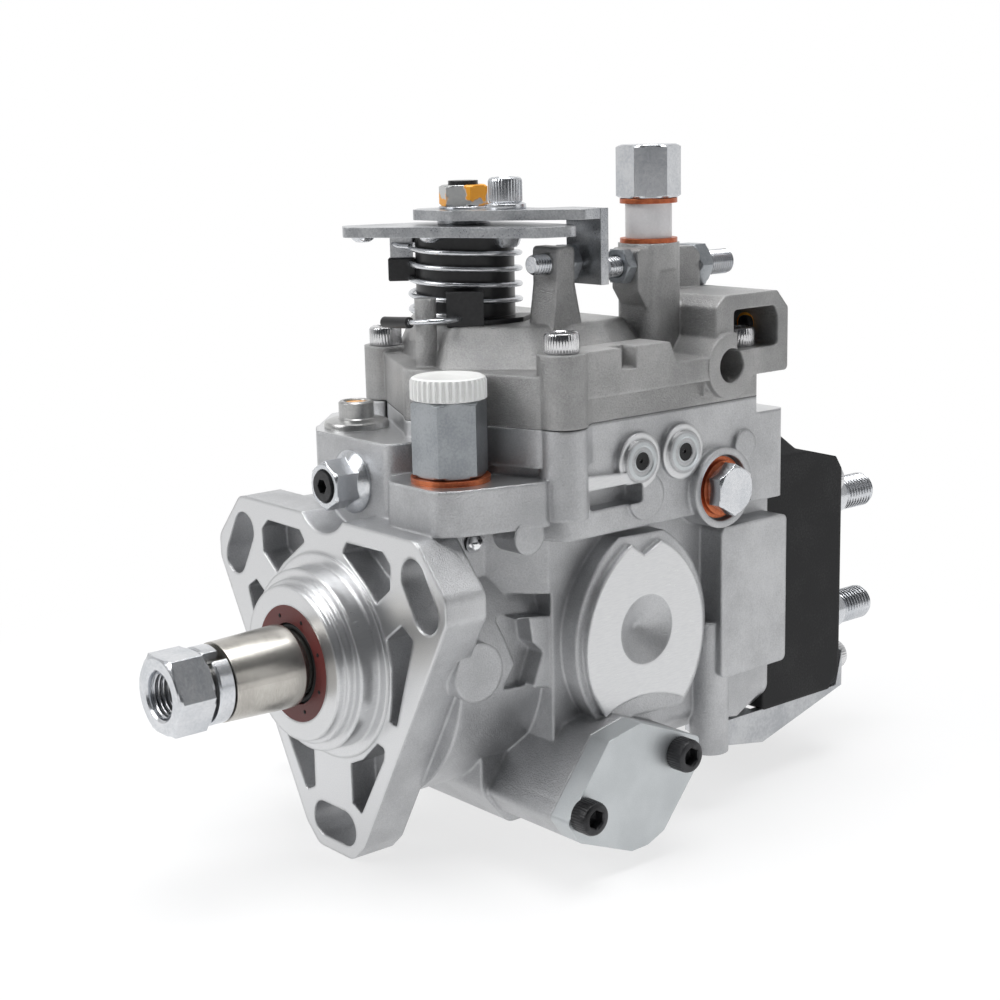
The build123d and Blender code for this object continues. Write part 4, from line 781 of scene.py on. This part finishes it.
@dataclass
class Castings(Assembly):
    """Housing, cover and gasket.

    Attributes:
        ball: Centre of the pressed steel ball.
        ball_radius: Radius of the ball.
        plugs: Centres of the two ring plugs beside the cover joint.
        plug_face: Distance of the plugs' face from the middle.
        sealed: Centre of the sealed plug in the rear block.
    """

    ball: Point = (38.2, 26.0, 36.1)
    ball_radius: float = 2.8
    plugs: tuple[Pair, ...] = ((73.2, 56.2), (91.2, 56.6))
    plug_face: float = 58.2
    sealed: Point = (45.4, 132.4, 90.6)

    def build(self) -> None:
        """Dress the castings and add the pressed parts."""
        self.dress(Finish.HOUSING, "pump_housing")
        self.dress(Finish.COVER, "governor_cover")
        self.dress(Finish.GASKET, "cover_gasket")
        self.pressed_ball()
        self.ring_plugs()
        self.sealed_plug()

    def pressed_ball(self) -> None:
        """Build the polished ball that closes a drilling."""
        maker = MeshMaker("sealing_ball")
        axle = Axle(self.ball, (1, 0, 0))
        rows = 15
        leans = [math.pi * (step + 0.5) / rows for step in range(rows)]
        radius = self.ball_radius
        turned(maker, axle, [(-radius * math.cos(lean), radius * math.sin(lean)) for lean in leans], 40)
        self.add(maker, Finish.BALL, smooth=60)

    def ring_plugs(self) -> None:
        """Build the ring plugs, whose hollow centres are near-black as painted shade."""
        maker = MeshMaker("ring_plugs")
        ring = [(0.6, 6.0), (1.1, 5.6), (1.3, 4.6), (0.9, 4.1), (0.7, 3.4), (1.05, 3.1), (1.15, 2.9)]
        centre = [(0.0, 3.0), (1.0, 2.9), (0.85, 2.5), (0.5, 0.6)]
        for maker.slot, profile in enumerate((ring, centre)):
            for y, z in self.plugs:
                turned(maker, Axle((self.plug_face, y, z), (1, 0, 0)), profile, caps=False)
        # The centres take the near-black finish as painted shade in their hollows.
        self.add(maker, Finish.LID, Finish.SHADE_HOLLOW)

    def sealed_plug(self) -> None:
        """Build the black plug with its dab of paint inside the window of the rear block."""
        maker = MeshMaker("sealed_plug")
        x, y, z = self.sealed
        turned(maker, Axle((x, y, z), (0, -1, 0)), [(0.0, 3.2), (0.9, 3.2), (1.2, 2.8), (1.2, 0.3)], 40)
        maker.slot = 1
        turned(maker, Axle((x + 1.1, y - 0.6, z), (0, -1, 0)), [(0.0, 2.5), (1.6, 2.5), (2.0, 2.1), (1.5, 0.3)], 40)
        self.add(maker, Finish.MARK, Finish.BLACK_STEEL)


@dataclass
class DriveEnd(Assembly):
    """Shaft, nut, split washer and seal.

    Attributes:
        thread_radius: Radius of the shaft thread.
        nut: Start and end of the nut along the shaft.
        nut_flats: Width of the nut across its flats.
        washer: Start and end of the washer along the shaft.
        washer_radii: Inner and outer radius of the washer.
        spread: How far the ends of the washer stand apart.
        seal_face: Front of the seal.
        dimples: Number of dimples in the seal.
        dimple_circle: Radius of the circle that they stand on.
    """

    thread_radius: float = 7.02
    nut: Pair = (-57.0, -45.0)
    nut_flats: float = 22.0
    washer: Pair = (-45.0, -38.5)
    washer_radii: Pair = (7.4, 11.5)
    spread: float = 1.3
    seal_face: float = -12.6
    dimples: int = 8
    dimple_circle: float = 14.6

    def build(self) -> None:
        """Dress the shaft and build the nut, the washer and the seal's marks."""
        self.dress(Finish.GROUND, "drive_shaft")
        self.dress(Finish.SEAL, "shaft_seal")
        self.dress(Finish.BRONZE, "shaft_bush")
        self.nut_piece()
        self.split_washer()
        self.seal_marks()

    def nut_piece(self) -> None:
        """Build the chamfered nut with its thread."""
        maker = MeshMaker("shaft_nut_threaded")
        axle = lengthwise()
        low, high = self.nut
        hexagon_bar(maker, axle, low, high, self.nut_flats, 30, self.thread_radius)
        threaded(maker, axle, low + 0.8, -49.6, self.thread_radius, 1.5, inner=True)
        self.add(maker, Finish.ZINC, body="shaft", smooth=CRISP, replaces=["shaft_nut"])

    def split_washer(self) -> None:
        """Build the sprung washer, a square wire of one turn with its ends apart."""
        maker = MeshMaker("split_washer")
        axle = lengthwise()
        low, high = self.washer
        inner, outer = self.washer_radii
        rows = []
        for step in range(61):
            share = step / 60
            angle = math.radians(112 - 342 * share)
            rise = share * self.spread
            start, end = low + rise, high - self.spread + rise
            section = [(start + 0.4, inner), (start, inner + 0.4), (start, outer - 0.5), (start + 0.5, outer),
                       (end - 0.5, outer), (end, outer - 0.5), (end, inner + 0.4), (end - 0.4, inner)]
            rows.append([axle.at(distance, radius, angle) for distance, radius in section])
        maker.grid(rows)
        self.add(maker, Finish.ZINC, body="shaft", replaces=["spring_washer"])

    def seal_marks(self) -> None:
        """Build the small dimples in the face of the seal and its lip, all near-black as painted shade in the hollows
        and in the gap round the shaft.
        """
        maker = MeshMaker("seal_dimples")
        for step in range(self.dimples):
            angle = math.radians(22 + 360 / self.dimples * step)
            axle = lengthwise(self.dimple_circle * math.cos(angle), self.dimple_circle * math.sin(angle),
                              self.seal_face - 0.06)
            turned(maker, axle, [(0.0, 0.62), (-0.04, 0.5), (0.05, 0.1)], 16)
        # The dimples are near-black as painted shade.
        self.add(maker, Finish.SHADE_HOLLOW)
        lip = MeshMaker("seal_lip")
        turned(lip, lengthwise(),
               [(-10.2, 12.2), (-11.6, 12.0), (-12.3, 11.3), (-12.1, 10.5), (-11.2, 10.12), (-10.2, 10.3)], 72, False)
        # The lip takes the black rubber finish as painted shade in the gap round the shaft.
        self.add(lip, Finish.DAMPER)


@dataclass
class GovernorStud(Assembly):
    """Front end of the governor shaft.

    Attributes:
        height: Height of the governor axis above the drive shaft.
        nut: Start and end of the flanged nut along the shaft.
        flats: Width of the nut across its flats.
    """

    height: float = 51.0
    nut: Pair = (1.2, 11.5)
    flats: float = 13.0

    def build(self) -> None:
        """Build the nut and dress the stud."""
        self.dress(Finish.BLACK_STEEL, "governor_shaft")
        maker = MeshMaker("flanged_nut")
        axle = lengthwise(0, self.height)
        low, high = self.nut
        hexagon_bar(maker, axle, low, high - 1.4, self.flats, 0, 4.55)
        turned(maker, axle, [(high, 4.6), (high, 9.5), (high - 0.7, 9.5), (high - 1.3, 8.9), (high - 2.6, 6.9),
                             (high - 3.0, 6.2)], 64, False)
        self.add(maker, Finish.ZINC, smooth=CRISP, replaces=["governor_nut"])


@dataclass
class Inlet(Assembly):
    """Fuel inlet with its transport cap, and the pressure regulating valve.

    Attributes:
        place: Centre of the inlet seen from above.
        foot: Bottom of the hexagon.
        flats: Width of the hexagon across its flats.
        bore: Radius of the inlet's bore.
        cap: Bottom and top of the cap.
        cap_radius: Radius of the cap over its ribs.
        valve: Centre of the valve seen from above.
        valve_seat: Height of the valve's seat.
    """

    place: Pair = (35.5, 20.5)
    foot: float = 56.5
    flats: float = 19.0
    bore: float = 4.2
    cap: Pair = (78.4, 84.9)
    cap_radius: float = 10.9
    valve: Pair = (-15.8, 25.0)
    valve_seat: float = 64.0

    def build(self) -> None:
        """Build the fitting, the cap and the valve, and dress the copper washers."""
        self.dress(Finish.COPPER, "copper_washers")
        self.fitting()
        self.ribbed_cap()
        self.valve_head()

    def fitting(self) -> None:
        """Build the long hexagon of the inlet."""
        maker = MeshMaker("inlet_hexagon")
        axle = upright(*self.place)
        hexagon_bar(maker, axle, self.foot, self.cap[0], self.flats, 4, self.bore)
        turned(maker, axle, [(44.0, self.bore), (44.0, 6.4), (44.6, 7.0), (self.foot, 7.0)], caps=False)
        self.add(maker, Finish.ZINC_ROUGH, smooth=CRISP, replaces=["inlet_fitting"])

    def ribbed_cap(self) -> None:
        """Build the white cap with its upright ribs."""
        maker = MeshMaker("ribbed_cap")
        axle = upright(*self.place)
        low, high = self.cap
        wide = self.cap_radius

        def ribs(angle: float) -> float:
            """Return the ribbed outline of the cap."""
            return 1.0 - 0.075 * min(1.0, max(0.0, 0.5 - 1.5 * math.cos(36 * angle)))

        turned(maker, axle, [(low - 8, 3.6), (low - 7.5, 4.1), (low, 4.1), (low, wide - 0.8), (low + 0.3, wide, ribs),
                             (high - 1.2, wide, ribs), (high - 0.4, wide - 0.45), (high, wide - 1.3),
                             (high - 0.25, wide - 2.2), (high - 0.25, 1.2)], 432)
        self.add(maker, Finish.WHITE, body="cap", replaces=["inlet_cap"])

    def valve_head(self) -> None:
        """Build the valve's stepped head with its hollow top."""
        maker = MeshMaker("valve_head")
        axle = upright(*self.valve, self.valve_seat)
        turned(maker, axle, [(-21, 5.0), (-20.5, 5.5), (0, 5.5), (0, 9.9), (1.2, 9.9), (1.9, 9.5), (2.4, 8.2),
                             (2.6, 5.8), (3.0, 5.35), (7.5, 5.35), (8.0, 4.8), (8.0, 3.9), (7.6, 3.6), (4.5, 3.6),
                             (4.3, 0.4)], 64)
        maker.slot = 1
        turned(maker, axle, [(6.9, 3.58), (7.4, 3.5), (7.6, 2.4), (7.5, 0.5)], 40)
        self.add(maker, Finish.VALVE, Finish.MARK, replaces=["regulating_valve"])


@dataclass
class LeverGroup(Assembly):
    """Control lever with its bush, return spring and fasteners.

    Attributes:
        centre: Lever axis seen from above.
        coil_radius: Radius of the spring's centre line.
        wire_radius: Radius of the spring's wire.
        coil: Bottom and top of the coil.
        turns: Number of turns.
        plate_top: Top of the upper plate.
        nut_flats: Width of the lever nut across its flats.
        clamp: Place of the clamp screw seen from the lever axis.
        rivets: Places of the small rivets under the lower plate.
        tongue_place: Centre of the tongue seen from above.
        tongue_way: Direction of its broad side.
    """

    centre: Pair = (1.6, 55.0)
    coil_radius: float = 16.66
    wire_radius: float = 0.8
    coil: Pair = (97.8, 119.2)
    turns: float = 4.6
    plate_top: float = 128.8
    nut_flats: float = 13.0
    clamp: Pair = (16.0, 3.0)
    rivets: tuple[Pair, ...] = ((-12.6, 27.6), (6.5, 38.5))
    tongue_place: Pair = (-11.0, 40.6)
    tongue_way: Pair = (0.64, 0.768)

    def build(self) -> None:
        """Dress the plates and build the bush, the spring and the fasteners."""
        self.dress(Finish.LEVER, "lower_lever", "upper_lever")
        self.dress(Finish.BLACK_STEEL, "control_shaft")
        self.dress(Finish.BUSH, "spring_bush")
        self.wound_spring()
        self.tongue()
        self.fasteners()

    def wound_spring(self) -> None:
        """Build the coil of round wire with its two tails."""
        maker = MeshMaker("lever_return_spring")
        low, high = self.coil
        path = [Vector(point) for point in (
            (-1.5, 26.9, 96.6), (4.0, 27.0, 96.9), (10.0, 27.2, 97.3), (16.0, 27.8, 97.8), (19.0, 29.6, 98.0),
            (19.8, 33.0, 98.0), (18.4, 38.0, 97.9), (16.2, 41.6, 97.8))]
        count = int(self.turns * 40)
        for step in range(count + 1):
            angle = math.radians(-42) - math.tau * self.turns * step / count
            height = low + (high - low) * step / count
            path.append(Vector((self.centre[0] + self.coil_radius * math.cos(angle),
                                self.centre[1] + self.coil_radius * math.sin(angle), height)))
        path += [Vector(point) for point in (
            (-12.6, 42.6, 119.3), (-13.8, 39.8, 119.2), (-12.4, 38.2, 118.6), (-9.4, 38.6, 118.0), (-6.6, 40.2, 117.8))]
        wire(maker, path, self.wire_radius)
        maker.slot = 1
        wire(maker, [Vector(point) for point in (
            (-2.2, 26.9, 96.6), (-1.8, 26.9, 96.6), (4.0, 27.0, 96.9), (9.2, 27.2, 97.2), (9.6, 27.2, 97.25))], 1.7, 20)
        self.add(maker, Finish.ZINC, Finish.BUSH, smooth=60, replaces=["return_spring"])

    def tongue(self) -> None:
        """Build the tab under the plate that the spring pushes, with its black sleeve."""
        maker = MeshMaker("lever_tongue")
        x, y = self.tongue_place
        right, ahead = self.tongue_way
        for slot, low, high, grow in ((0, 112.0, 121.4, 0.0), (1, 107.4, 114.4, 0.7)):
            maker.slot = slot
            rows = []
            for height, inset in ((low, 0.35), (low + 0.4, 0.0), (high - 0.4, 0.0), (high, 0.35)):
                half, thick = 3.4 + grow - inset, 1.2 + grow - inset
                rows.append([Vector((x + right * across + ahead * deep, y + ahead * across - right * deep, height))
                             for across, deep in ((-half, -thick), (half, -thick), (half, thick), (-half, thick))])
            maker.grid(rows)
        self.add(maker, Finish.LEVER, Finish.BUSH, body="control")

    def fasteners(self) -> None:
        """Build the painted nut, the clamp screw and its riveted foot."""
        nut = MeshMaker("lever_nut_and_screw")
        x, y = self.centre
        top = self.plate_top
        hexagon_bar(nut, upright(x, y), top + 0.7, top + 7.0, self.nut_flats, 38, 4.5)
        nut.slot = 1
        turned(nut, upright(x, y, top), [(0.0, 4.6), (0.0, 7.4), (0.5, 7.5), (0.7, 7.3), (0.7, 4.6)], caps=False)
        x, y = x + self.clamp[0], y + self.clamp[1]
        turned(nut, upright(x, y, top), [(0.0, 2.6), (0.0, 6.1), (0.5, 6.2), (1.5, 6.1), (1.9, 5.3), (1.9, 2.6)],
               caps=False)
        cap_screw(nut, upright(x, y, top + 1.9), 4.8, 5.1, 7.4, 2.5)
        self.add(nut, Finish.PAINTED, Finish.ZINC, body="control", smooth=CRISP, replaces=["lever_fasteners"])
        foot = MeshMaker("lever_rivets")
        turned(foot, upright(x, y),
               [(117.9, 2.2), (117.6, 3.2), (118.4, 3.9), (120.0, 4.5), (121.3, 5.4), (121.3, 2.0)], 40)
        for place in self.rivets:
            turned(foot, upright(*place), [(119.6, 0.6), (119.8, 2.2), (120.6, 3.3), (121.3, 3.6), (121.3, 1.0)], 40)
        self.add(foot, Finish.ZINC, body="control")


@dataclass
class StopScrews(Assembly):
    """Idle, full-speed and full-load screws with their lock nuts.

    Attributes:
        idle: Place of the idle screw seen along the shaft.
        speed: Place of the full-speed screw.
        load: Place of the full-load screw.
        pitch: Pitch of the three threads.
    """

    idle: Pair = (31.0, 113.0)
    speed: Pair = (37.0, 111.0)
    load: Pair = (24.0, 108.0)
    pitch: float = 1.0

    def build(self) -> None:
        """Build the screws and the nuts."""
        screws = MeshMaker("threaded_stop_screws")
        for place, low, high, radius, hollow in ((self.idle, 56.0, 73.2, 3.0, 0.0), (self.speed, 80.0, 92.4, 3.0, 0.0),
                                                 (self.load, 110.0, 146.0, 4.0, 2.4)):
            threaded(screws, lengthwise(*place), low, high, radius, self.pitch, hollow)
        self.add(screws, Finish.ZINC, replaces=["adjusting_screws"])
        nuts = MeshMaker("stop_screw_nuts")
        for place, low, high, flats, hole in ((self.idle, 68.0, 71.6, 10.0, 3.05), (self.speed, 84.2, 88.0, 10.0, 3.05),
                                              (self.load, 127.0, 133.0, 13.0, 4.05)):
            hexagon_bar(nuts, lengthwise(*place), low, high, flats, 30, hole)
        self.add(nuts, Finish.ZINC_ROUGH, smooth=CRISP, replaces=["lock_nuts"])


@dataclass
class ReturnConnection(Assembly):
    """Bolt and spacer of the fuel return.

    Attributes:
        place: Centre of the bolt seen from above.
        head: Bottom and top of the hexagon.
        flats: Width of the hexagon across its flats.
    """

    place: Pair = (36.0, 99.0)
    head: Pair = (130.5, 146.5)
    flats: float = 17.0

    def build(self) -> None:
        """Build the bolt and dress the spacer."""
        maker = MeshMaker("return_bolt")
        axle = upright(*self.place)
        hexagon_bar(maker, axle, *self.head, self.flats, 50)
        turned(maker, axle, [(105.3, 5.4), (105.9, 6.0), (self.head[0], 6.0)])
        self.add(maker, Finish.ZINC, smooth=CRISP, replaces=["banjo_bolt"])
        self.dress(Finish.SPACER, "banjo_sleeve")


@dataclass
class TimingDevice(Assembly):
    """Covers, screws and inner parts of the timing device.

    Attributes:
        seat: Distance of the screw seats from the middle.
        screws: Places of the screws seen from the side.
        shank: Length of the screws below their seats.
    """

    seat: float = 70.0
    screws: tuple[Pair, ...] = ((37.9, -40.3), (76.5, -31.2))
    shank: float = 19.5

    def build(self) -> None:
        """Dress the covers and build the knurled screws."""
        self.dress(Finish.LID, "timing_covers")
        self.dress(Finish.GROUND, "timing_piston", "timing_block")
        self.dress(Finish.ZINC, "timing_spring")
        maker = MeshMaker("timing_cap_screws")
        for side in (-1, 1):
            for y, z in self.screws:
                cap_screw(maker, Axle((side * self.seat, y, z), (side, 0, 0)), self.shank)
        self.add(maker, Finish.BLACK_STEEL, replaces=["timing_screws"])


@dataclass
class RearHead(Assembly):
    """Distributor head with its outlets, screws and bracket.

    Attributes:
        face: Rear face of the head.
        ports: Places of the outlets seen along the shaft.
        bolt: Centre of the bracket bolt seen from above.
        plug_flats: Width of the centre plug across its flats.
        outlet_flats: Width of an outlet across its flats.
        bolt_flats: Width of the bracket bolt across its flats.
    """

    face: float = 177.0
    ports: tuple[Pair, ...] = ((22.0, 21.0), (-22.0, 21.0), (22.0, -21.0), (-22.0, -21.0))
    bolt: Pair = (32.0, 129.0)
    plug_flats: float = 17.0
    outlet_flats: float = 14.0
    bolt_flats: float = 13.0

    def build(self) -> None:
        """Dress the head and build its fittings."""
        self.dress(Finish.HEAD, "distributor_head")
        self.dress(Finish.GROUND, "plunger_barrel")
        self.dress(Finish.BRACKET, "rear_bracket")
        self.outlets()
        plug = MeshMaker("centre_plug_hexagon")
        axle = lengthwise()
        hexagon_bar(plug, axle, self.face, self.face + 8, self.plug_flats, 30)
        turned(plug, axle, [(self.face - 11, 6.4), (self.face - 10.4, 7.0), (self.face, 7.0)], 48)
        self.add(plug, Finish.ZINC, smooth=CRISP, replaces=["centre_plug"])
        bolt = MeshMaker("bracket_bolt_head")
        hexagon_bar(bolt, upright(*self.bolt), -46.3, -41.0, self.bolt_flats)
        turned(bolt, upright(*self.bolt), [(-41.0, 4.0), (-38.5, 4.0), (-38.0, 3.6)], 40)
        self.add(bolt, Finish.ZINC, smooth=CRISP, replaces=["bracket_bolt"])

    def outlets(self) -> None:
        """Build the four threaded outlets."""
        maker = MeshMaker("threaded_outlets")
        for x, z in self.ports:
            axle = lengthwise(x, z)
            hexagon_bar(maker, axle, self.face, self.face + 14, self.outlet_flats, 30)
            turned(maker, axle, [(self.face - 16, 6.4), (self.face - 15.4, 7.0), (self.face, 7.0)], 40)
            turned(maker, axle, [(self.face + 14, 6.6), (self.face + 27.4, 6.6), (self.face + 28, 6.1)], 40)
            threaded(maker, axle, self.face + 28, self.face + 43, 6.0, 1.5, 1.4)
        self.add(maker, Finish.ZINC, replaces=["delivery_holders"])


@dataclass
class CapScrews(Assembly):
    """Bright knurled screws of the cover and of the head.

    Attributes:
        cover: Place and seat of each cover screw.
        head: Place and seat of each head screw.
        cover_end: Height at which the cover screws end.
        head_end: Place along the shaft at which the head screws end.
    """

    cover: tuple[Point, ...] = ((55.0, 46.0, 90.3), (-28.0, 46.0, 86.0), (-33.0, 123.5, 84.0), (50.0, 124.0, 84.5))
    head: tuple[Point, ...] = ((40.0, 33.0, 177.0), (-40.0, 33.0, 177.0), (40.0, -30.0, 180.0), (-40.0, -30.0, 177.0))
    cover_end: float = 59.0
    head_end: float = 125.5

    def build(self) -> None:
        """Build the screws."""
        maker = MeshMaker("bright_cap_screws")
        for x, y, seat in self.cover:
            cap_screw(maker, upright(x, y, seat), seat - self.cover_end)
        for x, z, seat in self.head:
            cap_screw(maker, lengthwise(x, z, seat), seat - self.head_end)
        self.add(maker, Finish.CHROME, replaces=["socket_screws"])


@dataclass
class SideBolts(Assembly):
    """Pivot bolts of the governor levers.

    Attributes:
        place: Place of the bolts seen from the side.
        right: Start and end of the right hexagon.
        left: Start and end of the left hexagon.
        flats: Width of a hexagon across its flats.
    """

    place: Pair = (107.6, 43.2)
    right: Pair = (59.2, 64.7)
    left: Pair = (43.6, 49.1)
    flats: float = 14.0

    def build(self) -> None:
        """Build both bolts with their stepped pins."""
        maker = MeshMaker("side_pivot_bolts")
        y, z = self.place
        for side, ends, tip, step in ((1, self.right, 28.0, 48.0), (-1, self.left, 19.0, 37.0)):
            axle = Axle((0, y, z), (side, 0, 0))
            hexagon_bar(maker, axle, *ends, self.flats)
            turned(maker, axle, [(tip, 2.6), (tip + 0.4, 3.0), (step, 3.0), (step, 5.0), (ends[0], 5.0)], 40)
        self.add(maker, Finish.ZINC, smooth=CRISP, replaces=["pivot_bolts"])


@dataclass
class InnerWorks(Assembly):
    """Parts that the castings hide."""

    def build(self) -> None:
        """Dress the hidden parts."""
        self.dress(Finish.GROUND, "feed_pump_ring", "feed_pump_rotor", "feed_pump_vanes", "feed_pump_plate",
                   "drive_gear", "roller_ring", "rollers", "cross_disc", "cam_plate", "plunger", "control_collar",
                   "governor_carrier", "flyweight_right", "flyweight_top", "flyweight_left", "flyweight_bottom",
                   "governor_sleeve")
        self.dress(Finish.ZINC_ROUGH, "spring_yoke", "start_lever", "tension_lever")
        self.dress(Finish.ZINC, "plunger_springs", "governor_spring")
        self.dress(Finish.DAMPER, "rubber_dampers")


@dataclass
class Studio:
    """Floor, light and camera.

    Attributes:
        eye: Place of the camera in millimetres.
        azimuth: Direction of the view in degrees.
        elevation: Height angle of the view in degrees.
        roll: Tilt of the picture in degrees.
        lens: Focal length for a sensor of 36 mm.
        floor: Height of the floor in millimetres.
        middle: Middle of the floor seen from above.
        light: Light of the world on the object.
        shade: Darkest colour that the metal mirrors, from behind the camera.
        whiteness: Share of plain white in the floor under the pump.
        fade: Square of the distance in metres at which the floor has turned white.
        lamps: Name, place, target, width and power of each lamp, in metres and watts.
    """

    eye: Point = (431.8, -291.6, 155.9)
    azimuth: float = 50.21
    elevation: float = 11.98
    roll: float = -1.28
    lens: float = 65.28
    floor: float = -63.0
    middle: Pair = (0, 60)
    light: Colour = (0.30, 0.31, 0.33)
    shade: Colour = (0.05, 0.052, 0.056)
    whiteness: float = 0.70
    fade: float = 0.10
    lamps: tuple[tuple[str, Point, Point, float, float], ...] = (
        ("key_lamp", (-0.35, -0.95, 0.75), (0.02, 0.03, 0.03), 0.7, 7.0),
        ("side_lamp", (1.05, 0.75, 0.35), (0.0, 0.08, 0.03), 0.6, 1.0),
        ("top_lamp", (0.05, 0.15, 1.1), (0.0, 0.06, 0.03), 0.8, 12.0))

    def build(self) -> None:
        """Build the studio round the pump."""
        self.world()
        self.ground()
        for lamp in self.lamps:
            self.lamp(*lamp)
        self.camera()
        bpy.context.scene.view_settings.view_transform = "Standard"

    def ahead(self) -> Vector:
        """Return the direction in which the photograph was taken."""
        side, lift = math.radians(self.azimuth), math.radians(self.elevation)
        return Vector((-math.sin(side) * math.cos(lift), math.cos(side) * math.cos(lift), -math.sin(lift)))

    def world(self) -> None:
        """Show the white backdrop to the camera and in reflections, and light the object softly."""
        world = bpy.data.worlds.new("studio_world")
        sky = NodeTree(world, "ShaderNodeOutputWorld")
        camera, glossy, clear = (sky.out("ShaderNodeLightPath", f"Is {kind} Ray")
                                 for kind in ("Camera", "Glossy", "Transmission"))
        lean = sky.out("ShaderNodeVectorMath", "Value", {"operation": "DOT_PRODUCT"},
                       {0: sky.out("ShaderNodeTexCoord", "Generated"), 1: self.ahead()})
        toward = sky.out("ShaderNodeMapRange", 0, {}, {"Value": lean, "From Min": -0.5, "From Max": 0.9})
        shade = sky.mix(camera, sky.mix(toward, self.shade, WHITE_LIGHT), WHITE_LIGHT)
        soft = sky.out("ShaderNodeBackground", 0, {}, {"Color": self.light})
        sky.finish(soft, sky.out("ShaderNodeBackground", 0, {}, {"Color": shade}), camera | glossy | clear)
        bpy.context.scene.world = world

    def ground(self) -> None:
        """Build the pale floor, which turns into the white backdrop away from the pump's shadow."""
        shader = Shader("Studio_Floor")
        grain = shader.noise(6.0, 2.0)
        shader.dress(Base_Color=shader.mix(grain, (0.91, 0.91, 0.91), (0.95, 0.95, 0.95)), Roughness=0.8,
                     Specular_IOR_Level=0.1)
        east, north, _ = shader.axes(shader.place())
        away = (east * east + (north - 0.07) * (north - 0.07)).ramp(0.0, self.fade)
        white = shader.out("ShaderNodeEmission", 0, {}, {"Color": WHITE_LIGHT, "Strength": 1.0})
        seen = shader.out("ShaderNodeLightPath", "Is Camera Ray") | shader.out("ShaderNodeLightPath", "Is Glossy Ray")
        shader.finish(shader.shine, white, seen * (self.whiteness + away * (1.0 - self.whiteness)))
        maker = MeshMaker("studio_floor")
        rings = [(0, radius) for radius in (3000, 1500, 700, 200, 0.01)]
        turned(maker, upright(*self.middle, self.floor), rings, 64, False)
        floor = maker.shown([shader.material])

    def lamp(self, name: str, place: Point, target: Point, size: float, power: float) -> None:
        """Add one soft lamp.

        Args:
            name: Name of the lamp.
            place: Where it stands in metres.
            target: Where it points in metres.
            size: Width of its square face in metres.
            power: Power in watts.
        """
        data = bpy.data.lights.new(name, "AREA")
        data.size = size
        data.energy = power
        lamp = bpy.data.objects.new(name, data)
        lamp.location = place
        lamp.rotation_euler = (Vector(target) - Vector(place)).to_track_quat("-Z", "Y").to_euler()
        bpy.context.scene.collection.objects.link(lamp)

    def camera(self) -> None:
        """Place the camera where the photograph was taken."""
        side, turn = math.radians(self.azimuth), math.radians(self.roll)
        back = -self.ahead()
        level = Vector((math.cos(side), math.sin(side), 0))
        upward = back.cross(level)
        right = level * math.cos(turn) + upward * math.sin(turn)
        top = upward * math.cos(turn) - level * math.sin(turn)
        data = bpy.data.cameras.new("photo_camera")
        data.sensor_width = 36
        data.lens = self.lens
        data.clip_start = 0.01
        camera = bpy.data.objects.new("photo_camera", data)
        turned_to = Matrix((right, top, back)).transposed().to_4x4()
        camera.matrix_world = Matrix.Translation(Vector(self.eye) * MM) @ turned_to
        bpy.context.scene.collection.objects.link(camera)
        bpy.context.scene.camera = camera


def main() -> None:
    """Build every assembly in order and report each piece."""
    logging.basicConfig(level=logging.INFO, format="%(message)s")
    palette = Palette()
    for kind in (Castings, DriveEnd, GovernorStud, Inlet, LeverGroup, StopScrews, ReturnConnection, TimingDevice,
                 RearHead, CapScrews, SideBolts, InnerWorks):
        LOG.info("Building %s", kind.__name__)
        kind(palette).build()
    Studio().build()


if __name__ == "__main__":
    main()
